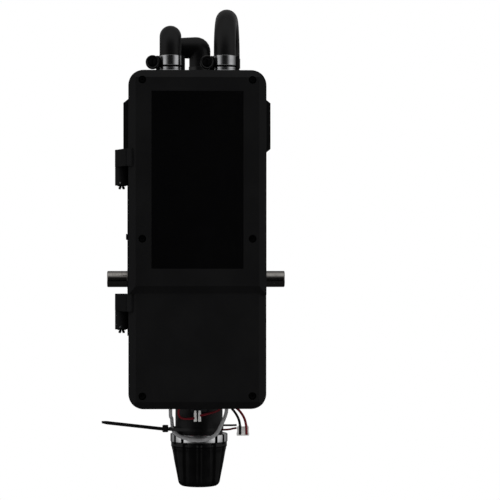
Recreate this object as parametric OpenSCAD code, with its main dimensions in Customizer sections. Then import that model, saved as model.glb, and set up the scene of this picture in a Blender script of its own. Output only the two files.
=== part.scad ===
// Wall-mounted door operator: a hinged control box over a worm gear drive.
// X runs to the right, Y into the wall, Z up. The origin is the middle of the wall bolts,
// on the wall, level with the output shaft.

/* [Cover] */
// Width of the front cover
cover_w = 204.5; // [198:1:212]
// How far the cover reaches above the output shaft's axis
cover_top = 312; // [306:1:324]
// How far the cover reaches below the output shaft's axis
cover_drop = 190.5; // [184:1:200]
// Depth of the cover's lower half, from its rim to its front face
cover_d = 45; // [42:1:56]
// How far the upper half stands proud of the lower half
cover_step = 6; // [3:0.5:9]
// Wall of the cover
cover_t = 3; // [2.5:0.5:4]
// Corner radius of the cover
cover_corner = 23; // [15:1:26]
// Width of the bevelled border
bevel_w = 11; // [8:0.5:13]
// Depth of the bevelled border
bevel_d = 7; // [5:0.5:9]
// Width of the label panel
label_w = 136.4; // [120:0.2:140]
// Height of the label panel
label_h = 263; // [240:1:266]
// Level of the label panel's lower edge above the output shaft's axis
label_z = 17.8; // [16:0.2:24]

/* [Base tray] */
// Depth of the base tray, from its back to its rim
tray_d = 42; // [40:1:50]
// Wall of the base tray
tray_t = 3; // [2.5:0.5:4]
// How far the tray's rim flange stands out
rim_out = 3; // [2:0.5:4]
// Thickness of the gasket
gasket_t = 3; // [2:0.5:4]
// How far each side ear stands out of the tray
ear_out = 11.7; // [9:0.1:14]
// Height of each side ear
ear_h = 83; // [70:1:88]
// Level of the side ears' lower edge
ear_z = 191; // [190:1:200]
// Diameter of the plugged hole in each ear
plug_d = 22; // [18:1:24]

/* [Hinges] */
// Outer diameter of the hinge knuckles
knuckle_d = 20; // [18:0.5:21]
// Diameter of the hinge pins
hinge_pin_d = 9; // [7:0.5:10]
// Height of each upper knuckle, which moves with the cover
knuckle_up = 25.7; // [22:0.1:30]
// Height of each lower knuckle, which is fixed to the tray
knuckle_low = 27.4; // [24:0.1:32]
// Level of the upper hinge's top
hinge_top_1 = 195.5; // [185:0.5:205]
// Level of the lower hinge's top
hinge_top_2 = -20; // [-30:1:-10]

/* [Chassis] */
// Distance from the wall to the chassis's front
chassis_d = 184; // [182:1:195]
// Thickness of the wall plate
wall_t = 4; // [3:0.5:6]
// Thickness of each side plate
side_t = 4; // [3:0.5:5]
// Distance from the middle to each side plate's outer face
side_x = 105.5; // [104.5:0.5:108]
// Level of the side plates' top
side_top = 188; // [170:1:189]
// How far the chassis reaches below the output shaft's axis
side_drop = 85; // [85:0.5:95]
// Width of the side plates' flanges
flange_w = 24; // [20:1:26]
// Diameter of the shaft's clearance hole in each side plate
shaft_hole_d = 29; // [28:0.5:32]
// Distance between the wall bolts from side to side
wall_bolt_x = 150; // [140:1:155]
// Distance between the wall bolts up and down
wall_bolt_z = 130; // [120:1:140]
// Diameter of the wall bolt holes
wall_hole_d = 10; // [8:0.5:12]

/* [Output shaft] */
// Diameter of the output shaft
shaft_d = 25.4; // [25:0.1:26]
// Length of the output shaft
shaft_len = 278; // [270:0.2:300]
// Distance from the wall to the output shaft's axis
shaft_off = 90; // [86:1:94]
// Width of the keys
key_w = 6.35; // [5:0.05:8]
// Length of the keyway at each shaft end
keyway_len = 24; // [16:1:26]

/* [Worm drive] */
// Sideways place of the worm's axis
drive_x = 4; // [0:0.5:8]
// Module of the worm and its wheel
gear_m = 2.5; // [2.5:0.01:2.52]
// Teeth of the worm wheel
wheel_teeth = 30; // [29:1:30]
// Face width of the worm wheel
wheel_w = 18; // [14:1:20]
// Pitch diameter of the worm
worm_pitch_d = 25; // [24.6:0.1:25.4]
// Turns of the worm's thread
worm_turns = 5; // [3:2:5]
// Backlash on each flank
flank_gap = 0.25; // [0.2:0.01:0.3]
// Diameter of the worm shaft's journals
journal_d = 15; // [14:0.5:15.5]

/* [Gear housing] */
// Half the width of the gear housing's cavity
cavity_hw = 26; // [25:0.5:28]
// Wall of the gear housing
box_t = 6; // [5:0.5:7]
// Thickness of the gear housing's cover plate
plate_t = 8; // [7:0.5:9]
// Outer diameter of the output shaft's bearings
out_bearing_d = 52; // [50:1:54]
// Width of the output shaft's bearings
out_bearing_w = 15; // [14:0.5:16]
// Outer diameter of the worm shaft's bearings
worm_bearing_d = 32; // [30:1:34]
// Width of the worm shaft's bearings
worm_bearing_w = 10; // [9:0.5:11]

/* [Motor] */
// Diameter of the motor can
can_d = 73; // [70:0.5:76]
// Wall of the motor can
can_t = 3; // [2:0.5:4]
// Level of the motor can's lower end below the output shaft's axis
can_drop = 239; // [236:1:244]
// Diameter of the clamp ring
ring_d = 89.4; // [86:0.2:92]
// Height of the clamp ring
ring_h = 10.8; // [9:0.2:13]
// Diameter of the boot's top
boot_d = 90; // [84:0.5:92]
// Diameter of the boot's lower end, above its rounded edge
boot_end_d = 66; // [56:0.5:70]
// Height of the boot
boot_h = 68.8; // [64:0.2:74]
// Wall of the boot
boot_t = 3.5; // [3:0.5:4]
// Flutes around the boot
boot_flutes = 12; // [8:1:14]

/* [Hoses] */
// Outer diameter of the hoses
hose_d = 33; // [31:0.5:33.5]
// Bore of the hoses
hose_bore = 24; // [22:0.5:25]
// Height of each hose clamp's band
clamp_h = 15; // [12:0.5:16]
// Thickness of each hose clamp's band
clamp_t = 0.8; // [0.6:0.1:1]
// Diameter of the grey cable
grey_cable_d = 6.8; // [6:0.1:7]
// Diameter of the motor's leads and of the harness wires
lead_d = 2.6; // [2:0.1:2.8]

/* [Board] */
// Width of the control board
board_w = 150; // [140:1:154]
// Height of the control board
board_h = 226; // [210:1:230]
// Level of the control board's lower edge
board_z = -32; // [-36:1:-28]
// Thickness of the control board
board_t = 1.6; // [1.2:0.1:2]
// Height of the stand-offs under the control board
standoff_h = 10; // [8:0.5:11]
// Travel of the push buttons
button_travel = 1.5; // [1:0.1:2]

/* [Hidden] */
$fn = 64;

// Clearance of a shaft that turns in a bearing, on its radius
run_gap = 0.05;
// Clearance between pieces that are fixed together, on the radius
seat_gap = 0.02;
// Space between pieces that move past each other
move_gap = 0.3;
// Space between the closed cover and its gasket
lid_gap = 0.2;
// Overrun of the cuts
over = 1;
// Bolts and small screws
bolt_d = 6;
bolt_head_d = 10;
bolt_head_h = 4;
small_d = 4;
small_head_d = 7;
small_head_h = 2.6;
rim_t = 3;
land_w = 10;

// Planes that the enclosure follows
tray_back = -chassis_d;
tray_rim = tray_back - tray_d;
cover_rim = tray_rim - gasket_t;
low_face = cover_rim - cover_d;
high_face = low_face - cover_step;
half_w = cover_w / 2;
cover_bot = -cover_drop;
tray_hw = half_w - rim_out;
tray_top = cover_top - rim_out;
tray_bot = cover_bot + rim_out;
step_rise = 13.3;
step_z = -21;
hinge_y = cover_rim;
hinge_off = 0.75;
hinge_x = -half_w - knuckle_d / 2 - hinge_off;

// Cover screws: two columns of three
screw_in_x = 20.75;
screw_xs = [-half_w + screw_in_x, half_w - screw_in_x];
screw_up = 19.5;
screw_mid_z = 62;
screw_down = 15;
screw_zs = [cover_bot + screw_up, screw_mid_z, cover_top - screw_down];
screw_d = 5;
screw_head_d = 10;
screw_head_h = 5;
recess_d = 11.4;
recess_deep = 8;
boss_d = 15;
tray_boss_d = 13;
loose = 1.2;
tip_len = 3;
tip_hole = 12;
hex_r = 3;
hex_deep = 2.5;

// Chassis planes
side_bot = -side_drop;
plate_below = 13;
plate_top = tray_top - plate_below;
plate_hw = side_x - side_t;
flange_screw_in = 7;
flange_screw_x = side_x - flange_w + flange_screw_in;
flange_screw_shares = [0.09, 0.37, 0.92];
flange_screw_zs = [for (share = flange_screw_shares) side_bot + share * (side_top - side_bot)];

// Worm drive
centre_dist = (gear_m * wheel_teeth + worm_pitch_d) / 2;
worm_y = -shaft_off - centre_dist;
pitch_r = gear_m * wheel_teeth / 2;
addendum = gear_m;
dedendum_share = 1.24;
dedendum = gear_m * dedendum_share;
wheel_tip_r = pitch_r + addendum;
wheel_root_r = pitch_r - dedendum;
worm_r = worm_pitch_d / 2;
worm_tip_r = worm_r + addendum;
worm_root_r = worm_r - dedendum;
lead = PI * gear_m;
lead_angle = atan(lead / (PI * worm_pitch_d));
pressure = 20;
worm_steps = 12;
hub_d = 36;
tooth_sink = 1;
thread_sink = 0.6;

// Gear housing, measured from the worm's axis and the shaft's axis
box_l = drive_x - cavity_hw - box_t;
box_r = drive_x + cavity_hw;
cavity_l = drive_x - cavity_hw;
wheel_room = 2;
seat_wall = 3;
roof_room = 2;
sole_room = 5;
cavity_back = -shaft_off + wheel_tip_r + wheel_room;
box_back = cavity_back + box_t;
cavity_front = worm_y - worm_bearing_d / 2 - seat_wall;
box_front = cavity_front - box_t;
cavity_top = 50;
cavity_bot = -60;
box_top = cavity_top + worm_bearing_w + roof_room;
box_bot = cavity_bot - worm_bearing_w - sole_room;
plate_r = box_r + plate_t;
shoulder = 1;
bearing_in = cavity_hw + shoulder;
bearing_out = bearing_in + out_bearing_w;
seal_w = 4;
seal_d = 40;
boss_out = bearing_out + seal_w;
out_boss_d = out_bearing_d + 2 * box_t;
worm_top_z = cavity_top + worm_bearing_w;
worm_low_z = cavity_bot - worm_bearing_w;
cover_bolt_in = 6;
cover_bolt_ys = [box_front + cover_bolt_in, box_back - cover_bolt_in];
cover_bolt_zs = [box_bot + cover_bolt_in, box_top - cover_bolt_in];

// Motor
can_r = can_d / 2;
motor_flange_t = 10;
can_top = box_bot - motor_flange_t;
can_bot = -can_drop;
end_plate_h = 12;
ring_bot = can_bot - ring_h;
boot_bot = ring_bot - boot_h;
boot_round = 7;
rotor_r = 27;
rotor_slots = 12;
rotor_slot_w = 2;
rotor_slot_deep = 6;
rotor_down = 24;
rotor_up = 46;
rotor_top = can_top - rotor_down;
rotor_bot = can_bot + rotor_up;
commutator_r = 13;
commutator_up = 5;
magnet_t = 5;
magnet_gap = 10;
brush_plate_t = 4;
brush_w = 8;
brush_l = 14;
brush_h = 10;
encoder_d = 40;
encoder_h = 16;
encoder_hole = 9;
shaft_tail = 6;
spigot_h = 3;
groove_r = 6;
groove_sink = 1.6;
terminal_l = 13;
terminal_r = 11;
terminal_top = -190;
terminal_h = 12;
terminal_out = 5;
terminal_in = 6;
blade_xs = [-3.6, 2.2];
blade_w = 3.5;
blade_h = 13.5;
blade_t = 0.9;
blade_out = 3.1;
// Directions of the clamp ring's notches, from the front
notch_angles = [36, 57, 76, 104, 123, 144];
notch_w = 3;
notch_deep = 2;

// Transformer housing
case_l = -30;
case_r = 84;
case_above = 14;
case_bot = side_top + case_above;
case_t = 2;
coil_w = 50;
coil_room = 4;
coil_plate = 3;
coil_hole_share = 0.33;

// Routes, in hand-chosen points: hoses first, then cables
left_hose_route = [[-40, -206, 322], [-40, -206, 369.6], [-40, -152, 369.6], [-40, -94, 361.5],
    [5.8, -94, 361.5], [5.8, -94, 315]];
right_hose_route = [[42, -206, 322], [42, -206, 367], [45, -173, 399], [49, -127, 399],
    [52, -94, 367], [52, -94, 328]];
grey_route = [[-40, -200, -187.5], [-40, -200, -206], [-38, -154, -214], [-37, -148, -233],
    [-27, -190, -238], [-8, -197, -243], [12, -198, -244], [30, -197, -235], [41, -197, -212],
    [45, -203, -200], [45, -203, -187.5]];
red_route_1 = [[-24, -200, -187.5], [-24, -200, -200], [-19, -181, -211], [-4, -181, -211]];
red_route_2 = [[34, -200, -187.5], [34, -200, -198], [22, -182, -203], [6, -181, -207]];
black_wire_route = [[51, -194, -187.5], [51, -194, -196], [66, -185, -204], [66, -185, -236]];
red_wire_route = [[57, -194, -187.5], [57, -194, -196], [76, -185, -204], [76, -185, -236]];
short_black_route = [[61, -180, -225], [54, -180, -225], [48, -156, -223], [39.6, -150, -222]];
short_red_route = [[61, -180, -230], [55, -180, -230], [50, -158, -234], [39.6, -150, -235]];

hose_top_z = left_hose_route[0][2];
hose_end_z = left_hose_route[5][2];
front_stubs = [left_hose_route[0], right_hose_route[0]];
rear_stubs = [left_hose_route[5], right_hose_route[5]];
stub_ring_h = 6;
stub_in = 0.4;
stub_wall = 2;
stub_past = 4;
stub_foot_h = 4.7;
stub_foot_out = 5.5;
stub_ring_out = 0.6;
clamp_gap = 0.1;
clamp_in = hose_d / 2 + clamp_gap;
clamp_low = 2.3;
clamp_out = clamp_in + clamp_t;
clamp_back_out = 4.6;
clamp_back_low = 5;
knob_low = 3.4;
knob_r = 10.5;
knob_t = 9;
knob_front = 15;
knob_hex_r = 4;
knob_sink = 1;
housing_h = 14;
housing_back = 10;

// Points along a route: straight ends, and a smooth bend at each point between
function mid(a, b) = (a + b) / 2;
function bend(a, b, c, t) = (1 - t) * (1 - t) * a + 2 * t * (1 - t) * b + t * t * c;
function route(p, steps) = let (last = len(p) - 1) concat(
    [p[0]],
    [for (i = [1:last - 1], k = [0:steps - 1])
        bend(mid(p[i - 1], p[i]), p[i], mid(p[i], p[i + 1]), k / steps)],
    [mid(p[last - 1], p[last]), p[last]]);
function unit(v) = v / norm(v);
function directions(p) = let (last = len(p) - 1)
    [for (i = [0:last]) unit(p[min(i + 1, last)] - p[max(i - 1, 0)])];
function square_to(v, t) = unit(v - (v * t) * t);
function sides_of(t) = [for (i = 0, n = square_to([1, 0.3, 0.2], t[0]); i < len(t);
    i = i + 1, n = i < len(t) ? square_to(n, t[i]) : n) n];
function rings(p, r, sides) = let (t = directions(p), n = sides_of(t))
    [for (i = [0:len(p) - 1], j = [0:sides - 1]) let (a = 360 * j / sides)
        p[i] + r * (cos(a) * n[i] + sin(a) * cross(t[i], n[i]))];
function walls(count, sides, from, turned) = [for (i = [0:count - 2], j = [0:sides - 1]) let (
    k = (j + 1) % sides, a = from + i * sides, b = a + sides,
    face = [a + j, b + j, b + k, a + k]) turned ? [face[3], face[2], face[1], face[0]] : face];

// A solid cord along a route
module cord(points, r, sides, steps) {
    p = route(points, steps);
    count = len(p);
    first = [for (j = [0:sides - 1]) j];
    final = [for (j = [sides - 1:-1:0]) (count - 1) * sides + j];
    polyhedron(rings(p, r, sides), concat(walls(count, sides, 0, false), [first, final]));
}

// A hose with its bore along a route
module hose(points, r, bore_r, sides, steps) {
    p = route(points, steps);
    count = len(p);
    inner = count * sides;
    last = (count - 1) * sides;
    ends = [for (j = [0:sides - 1]) let (k = (j + 1) % sides) each [
        [j, k, inner + k, inner + j],
        [last + k, last + j, inner + last + j, inner + last + k]]];
    polyhedron(concat(rings(p, r, sides), rings(p, bore_r, sides)),
        concat(walls(count, sides, 0, false), walls(count, sides, inner, true), ends));
}

// Plain shapes placed by their limits
module block(x0, x1, y0, y1, z0, z1) {
    translate([x0, y0, z0]) cube([x1 - x0, y1 - y0, z1 - z0]);
}
module rod_x(r, x0, x1, y, z) {
    translate([x0, y, z]) rotate([0, 90, 0]) cylinder(r = r, h = x1 - x0);
}
module rod_y(r, x, y0, y1, z) {
    translate([x, y1, z]) rotate([90, 0, 0]) cylinder(r = r, h = y1 - y0);
}
module rod_z(r, x, y, z0, z1) {
    translate([x, y, z0]) cylinder(r = r, h = z1 - z0);
}
// An outline in X and Z, given a thickness along Y
module slab(y0, y1) {
    translate([0, y1, 0]) rotate([90, 0, 0]) linear_extrude(y1 - y0) children();
}
module round_rect(x0, x1, z0, z1, r) {
    translate([x0 + r, z0]) square([x1 - x0 - 2 * r, z1 - z0]);
    translate([x0, z0 + r]) square([x1 - x0, z1 - z0 - 2 * r]);
    for (x = [x0 + r, x1 - r], z = [z0 + r, z1 - r]) translate([x, z]) circle(r = r);
}
module at_cover_screws() {
    for (x = screw_xs, z = screw_zs) translate([x, 0, z]) children();
}

// Chassis
module wall_plate() {
    color("#1b1c1e") difference() {
        block(-plate_hw, plate_hw, -wall_t, 0, side_bot, plate_top);
        for (x = [-wall_bolt_x / 2, wall_bolt_x / 2], z = [-wall_bolt_z / 2, wall_bolt_z / 2])
            rod_y(wall_hole_d / 2, x, -wall_t - over, over, z);
    }
}
module side_plate(s) {
    inner = side_x - side_t;
    flange_x = side_x - flange_w;
    mirror([s < 0 ? 1 : 0, 0, 0]) difference() {
        union() {
            block(inner, side_x, tray_back, 0, side_bot, side_top);
            block(flange_x, inner, tray_back, tray_back + side_t, side_bot, side_top);
            block(flange_x, inner, -wall_t - side_t, -wall_t, side_bot, side_top);
        }
        rod_x(shaft_hole_d / 2, inner - over, side_x + over, -shaft_off, 0);
        for (z = flange_screw_zs) {
            rod_y(bolt_d / 2 + seat_gap, flange_screw_x, tray_back - over,
                tray_back + side_t + over, z);
            rod_y(bolt_d / 2 + seat_gap, flange_screw_x, -wall_t - side_t - over,
                -wall_t + over, z);
        }
    }
}
module left_side_plate() {
    color("#1b1c1e") side_plate(-1);
}
module right_side_plate() {
    color("#1b1c1e") side_plate(1);
}
// The bolts that hold the side plates to the wall plate and the tray to the side plates
module frame_bolts() {
    base_screws();
    color("silver") for (x = [-flange_screw_x, flange_screw_x], z = flange_screw_zs) {
        rod_y(bolt_d / 2, x, -wall_t - side_t - over, -wall_t, z);
        rod_y(bolt_head_d / 2, x, -wall_t - side_t - bolt_head_h, -wall_t - side_t, z);
    }
}

// Gear housing and what carries it
module gearbox_bracket() {
    web_t = box_t;
    color("#232527") difference() {
        block(box_l, box_r, box_back, -wall_t, box_bot, box_top);
        block(box_l + web_t, box_r - web_t, box_back + web_t, -wall_t + over,
            box_bot - over, box_top + over);
    }
}
module gear_housing() {
    color("#8b8e90") difference() {
        union() {
            block(box_l, box_r, box_front, box_back, box_bot, box_top);
            rod_x(out_boss_d / 2, drive_x - boss_out, box_l, -shaft_off, 0);
        }
        block(cavity_l, box_r + over, cavity_front, cavity_back, cavity_bot, cavity_top);
        rod_x(out_bearing_d / 2 + seat_gap, drive_x - bearing_out, cavity_l + over, -shaft_off, 0);
        rod_x(seal_d / 2 + seat_gap, drive_x - boss_out - over, cavity_l, -shaft_off, 0);
        rod_z(worm_bearing_d / 2 + seat_gap, drive_x, worm_y, worm_low_z, worm_top_z);
        rod_z(journal_d / 2 + loose, drive_x, worm_y, box_bot - over, box_top - over);
        for (y = cover_bolt_ys, z = cover_bolt_zs)
            rod_x(small_d / 2 + seat_gap, box_r - 2 * box_t, box_r + over, y, z);
    }
}
module gear_cover() {
    color("#8b8e90") difference() {
        union() {
            block(box_r, plate_r, box_front, box_back, box_bot, box_top);
            rod_x(out_boss_d / 2, plate_r, drive_x + boss_out, -shaft_off, 0);
        }
        rod_x(out_bearing_d / 2 + seat_gap, box_r - over, drive_x + bearing_out, -shaft_off, 0);
        rod_x(seal_d / 2 + seat_gap, box_r, drive_x + boss_out + over, -shaft_off, 0);
        for (y = cover_bolt_ys, z = cover_bolt_zs)
            rod_x(small_d / 2 + seat_gap, box_r - over, plate_r + over, y, z);
    }
}
module gear_cover_screws() {
    color("silver") for (y = cover_bolt_ys, z = cover_bolt_zs) {
        rod_x(small_d / 2, box_r - box_t, plate_r + over, y, z);
        rod_x(small_head_d / 2, plate_r, plate_r + small_head_h, y, z);
    }
}
module bearing_x(x0, w, d, bore) {
    difference() {
        rod_x(d / 2, x0, x0 + w, -shaft_off, 0);
        rod_x(bore / 2 + run_gap, x0 - over, x0 + w + over, -shaft_off, 0);
    }
}
module output_bearings() {
    color("silver") {
        bearing_x(drive_x - bearing_out, out_bearing_w, out_bearing_d, shaft_d);
        bearing_x(drive_x + bearing_in, out_bearing_w, out_bearing_d, shaft_d);
    }
}
module shaft_seals() {
    color("#151515") {
        bearing_x(drive_x - boss_out, seal_w, seal_d, shaft_d);
        bearing_x(drive_x + bearing_out, seal_w, seal_d, shaft_d);
    }
}
module bearing_z(z0, w, d) {
    difference() {
        rod_z(d / 2, drive_x, worm_y, z0, z0 + w);
        rod_z(journal_d / 2 + run_gap, drive_x, worm_y, z0 - over, z0 + w + over);
    }
}
module worm_bearings() {
    color("silver") {
        bearing_z(cavity_top, worm_bearing_w, worm_bearing_d);
        bearing_z(worm_low_z, worm_bearing_w, worm_bearing_d);
        bearing_z(can_bot, worm_bearing_w, worm_bearing_d);
    }
}

// Motor
module motor_flange() {
    color("#2a2c2e") difference() {
        rod_z(can_r, drive_x, worm_y, can_top, box_bot);
        rod_z(journal_d / 2 + loose, drive_x, worm_y, can_top - over, box_bot + over);
    }
}
module motor_can() {
    color("#111213") difference() {
        rod_z(can_r, drive_x, worm_y, can_bot, can_top);
        rod_z(can_r - can_t, drive_x, worm_y, can_bot - over, can_top + over);
    }
}
module motor_magnets() {
    color("#3c3f42") difference() {
        rod_z(can_r - can_t - seat_gap, drive_x, worm_y, rotor_bot, rotor_top);
        rod_z(can_r - can_t - magnet_t, drive_x, worm_y, rotor_bot - over, rotor_top + over);
        translate([drive_x, worm_y, 0])
            block(-magnet_gap / 2, magnet_gap / 2, -can_d, can_d, rotor_bot - over,
                rotor_top + over);
    }
}
module motor_end_plate() {
    top = can_bot + end_plate_h;
    color("#8b8e90") difference() {
        rod_z(can_r - can_t - seat_gap, drive_x, worm_y, can_bot, top);
        rod_z(worm_bearing_d / 2 + seat_gap, drive_x, worm_y, can_bot - over,
            can_bot + worm_bearing_w);
        rod_z(journal_d / 2 + loose, drive_x, worm_y, can_bot, top + over);
    }
}
module brush_holder() {
    low = can_bot + end_plate_h;
    high = low + brush_plate_t;
    in = commutator_r + move_gap;
    color("#6a3a22") translate([drive_x, worm_y, 0]) {
        difference() {
            rod_z(can_r - can_t - seat_gap, 0, 0, low, high);
            rod_z(in, 0, 0, low - over, high + over);
        }
        for (s = [0, 1]) mirror([s, 0, 0])
            block(in, in + brush_l, -brush_w / 2, brush_w / 2, high, high + brush_h);
    }
}
module encoder() {
    color("#17181a") difference() {
        rod_z(encoder_d / 2, drive_x, worm_y, can_bot - encoder_h, can_bot);
        rod_z(journal_d / 2 + loose, drive_x, worm_y, can_bot - encoder_hole, can_bot + over);
    }
}
module motor_clamp_ring() {
    color("#c9cbcd") difference() {
        union() {
            rod_z(ring_d / 2, drive_x, worm_y, ring_bot, can_bot);
            rod_z(boot_d / 2 - boot_t - move_gap, drive_x, worm_y, ring_bot - spigot_h, ring_bot);
        }
        rod_z(encoder_d / 2 + move_gap, drive_x, worm_y, ring_bot - spigot_h - over,
            can_bot + over);
        for (s = [-1, 1], a = notch_angles)
            translate([drive_x, worm_y, 0]) rotate([0, 0, s * a])
                block(-notch_w / 2, notch_w / 2, -ring_d, -ring_d / 2 + notch_deep,
                    ring_bot - over, can_bot + over);
    }
}
module boot_form(inset) {
    r_top = boot_d / 2 - inset;
    r_end = boot_end_d / 2 - inset;
    low = boot_round - inset;
    translate([drive_x, worm_y, boot_bot + inset]) rotate_extrude() {
        polygon([[0, 0], [r_end - low, 0], [r_end - low, low], [r_end, low],
            [r_top, boot_h - inset], [0, boot_h - inset]]);
        translate([r_end - low, low]) intersection() {
            circle(r = low);
            translate([0, -low]) square([low, low]);
        }
    }
}
module motor_boot() {
    lean = atan((boot_d - boot_end_d) / 2 / (boot_h - boot_round));
    color("#0c0c0d") difference() {
        boot_form(0);
        boot_form(boot_t);
        rod_z(boot_d / 2 - boot_t, drive_x, worm_y, ring_bot - spigot_h - seat_gap,
            ring_bot + over);
        for (i = [0:boot_flutes - 1]) translate([drive_x, worm_y, boot_bot])
            rotate([0, 0, 360 * i / boot_flutes])
                translate([0, -boot_end_d / 2 + groove_sink - groove_r, boot_round])
                    rotate([lean, 0, 0])
                        translate([0, 0, -boot_h / 2]) cylinder(r = groove_r, h = 2 * boot_h);
    }
}
module motor_terminals() {
    terminal_block();
    terminal_blades();
}
module terminal_block() {
    front = worm_y - can_r;
    color("#1a1a1c") difference() {
        block(drive_x - terminal_l, drive_x + terminal_r, front - terminal_out,
            front + terminal_in, terminal_top - terminal_h, terminal_top);
        rod_z(can_r + seat_gap, drive_x, worm_y, terminal_top - terminal_h - over,
            terminal_top + over);
    }
}
module terminal_blades() {
    low = terminal_top - terminal_h;
    out = worm_y - can_r - blade_out;
    color("silver") for (x = blade_xs)
        block(x, x + blade_w, out - blade_t, out, low - blade_h, low);
}

// Enclosure base
module base_form(inset, y0, y1, corner) {
    slab(y0, y1) round_rect(-tray_hw + inset, tray_hw - inset, tray_bot + inset,
        tray_top - inset, corner - inset);
}
ear_slope = 7;
ear_back = 4;
ear_deep = 28;
ear_mid_y = tray_back - ear_back - ear_deep / 2;
ear_mid_z = ear_z + ear_h / 2;
module ears() {
    in = tray_hw - tray_t;
    edge = tray_hw + rim_out;
    out = tray_hw + ear_out;
    for (s = [0, 1]) mirror([s, 0, 0])
        slab(tray_back - ear_back - ear_deep, tray_back - ear_back)
            polygon([[in, ear_z], [edge, ear_z], [out, ear_z + ear_slope],
                [out, ear_z + ear_h - ear_slope], [edge, ear_z + ear_h], [in, ear_z + ear_h]]);
}
grommet_spots = [[-40, -200, 5], [45, -203, 5], [-24, -200, 3], [34, -200, 3], [54, -194, 6]];
module enclosure_base() {
    corner = cover_corner - rim_out;
    color("#131415") difference() {
        union() {
            difference() {
                union() {
                    base_form(0, tray_rim, tray_back, corner);
                    slab(tray_rim, tray_rim + rim_t) round_rect(-half_w, half_w, cover_bot,
                        cover_top, cover_corner);
                    ears();
                }
                base_form(tray_t, tray_rim - over, tray_back - tray_t, corner);
            }
            at_cover_screws() rod_y(tray_boss_d / 2, 0, tray_rim, tray_back - tray_t, 0);
        }
        at_cover_screws() rod_y(screw_d / 2 + loose, 0, tray_rim - over, tray_rim + tip_hole, 0);
        for (s = [0, 1]) mirror([s, 0, 0])
            rod_x(plug_d / 2 + seat_gap, tray_hw - tray_t - over, tray_hw + ear_out + over,
                ear_mid_y, ear_mid_z);
        for (x = [-flange_screw_x, flange_screw_x], z = flange_screw_zs)
            rod_y(bolt_d / 2 + seat_gap, x, tray_back - tray_t - over, tray_back + over, z);
        for (p = front_stubs)
            rod_z(hose_bore / 2 - stub_wall, p[0], p[1], tray_top - tray_t - over,
                cover_top + over);
        for (g = grommet_spots)
            rod_z(g[2], g[0], g[1], tray_bot - over - rim_out, tray_bot + tray_t + over);
    }
}
module base_screws() {
    head_y = tray_back - tray_t;
    color("silver") for (x = [-flange_screw_x, flange_screw_x], z = flange_screw_zs) {
        rod_y(bolt_d / 2, x, head_y, tray_back + side_t + over, z);
        rod_y(bolt_head_d / 2, x, head_y - bolt_head_h, head_y, z);
    }
}
plug_deep = 4;
module side_plugs() {
    color("#1d1e20") for (s = [0, 1]) mirror([s, 0, 0]) difference() {
        rod_x(plug_d / 2, tray_hw - tray_t, tray_hw + ear_out, ear_mid_y, ear_mid_z);
        rod_x(plug_d / 4, tray_hw + ear_out - plug_deep, tray_hw + ear_out + over, ear_mid_y,
            ear_mid_z);
    }
}
module cover_gasket() {
    color("#1c1c1c") slab(cover_rim + lid_gap, tray_rim) difference() {
        round_rect(-half_w, half_w, cover_bot, cover_top, cover_corner);
        round_rect(-half_w + land_w, half_w - land_w, cover_bot + land_w, cover_top - land_w,
            cover_corner - land_w);
    }
}
module knuckle(z0, z1) {
    difference() {
        rod_z(knuckle_d / 2, hinge_x, hinge_y, z0, z1);
        rod_z(hinge_pin_d / 2 + run_gap, hinge_x, hinge_y, z0 - over, z1 + over);
    }
}
low_knuckles = [for (top = [hinge_top_1, hinge_top_2]) top - knuckle_up - move_gap - knuckle_low];
leaf_t = 3;
leaf_in = 6;
web_t = 5;
web_sink = 3.5;
module lower_knuckles() {
    web_y = hinge_y + knuckle_d / 2 - web_sink;
    color("#0f1011") for (z = low_knuckles) difference() {
        union() {
            rod_z(knuckle_d / 2, hinge_x, hinge_y, z, z + knuckle_low);
            block(-tray_hw - leaf_t, -tray_hw, tray_rim + leaf_in, tray_back - leaf_in, z,
                z + knuckle_low);
            block(hinge_x, -tray_hw, web_y, web_y + web_t, z, z + knuckle_low);
        }
        rod_z(hinge_pin_d / 2 + run_gap, hinge_x, hinge_y, z - over, z + knuckle_low + over);
        block(hinge_x, -tray_hw, tray_rim - over, tray_rim + rim_t + seat_gap, z - over,
            z + knuckle_low + over);
    }
}
pin_end_h = 5.2;
pin_end_in = 1;
pin_end_out = 2;
pin_short = 2;
module hinge_pins() {
    color("#9a9c9e") for (i = [0, 1]) {
        top = [hinge_top_1, hinge_top_2][i];
        z = low_knuckles[i];
        rod_z(hinge_pin_d / 2, hinge_x, hinge_y, z, top - pin_short);
        translate([hinge_x, hinge_y, z - pin_end_h]) cylinder(r1 = hinge_pin_d / 2 - pin_end_in,
            r2 = hinge_pin_d / 2 + pin_end_out, h = pin_end_h);
    }
}
module grommets() {
    low = tray_bot;
    color("#0b0b0b") for (g = grommet_spots) rod_z(g[2] - seat_gap, g[0], g[1], low, low + tray_t);
}

// Hoses over the top
module stub(p, z0) {
    high = p[2] + clamp_low + clamp_h + stub_past;
    difference() {
        union() {
            rod_z(hose_bore / 2 - stub_in, p[0], p[1], z0, high);
            rod_z(hose_d / 2 + stub_ring_out, p[0], p[1], p[2] - stub_ring_h, p[2]);
            rod_z(hose_d / 2 + stub_foot_out, p[0], p[1], z0, z0 + stub_foot_h);
        }
        rod_z(hose_bore / 2 - stub_wall, p[0], p[1], z0 - over, high + over);
    }
}
module hose_stubs() {
    color("#b9bcbe") {
        for (p = front_stubs) stub(p, cover_top);
        for (p = rear_stubs) stub(p, plate_top);
    }
}
module left_hose() {
    color("#0d0d0e") hose(left_hose_route, hose_d / 2, hose_bore / 2, 16, 6);
}
module right_hose() {
    color("#0d0d0e") hose(right_hose_route, hose_d / 2, hose_bore / 2, 16, 6);
}
module hose_clamps() {
    color("#b9bcbe") for (p = concat(front_stubs, rear_stubs)) difference() {
        rod_z(clamp_out, p[0], p[1], p[2] + clamp_low, p[2] + clamp_low + clamp_h);
        rod_z(clamp_in, p[0], p[1], p[2] + clamp_low - over, p[2] + clamp_low + clamp_h + over);
    }
}
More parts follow.
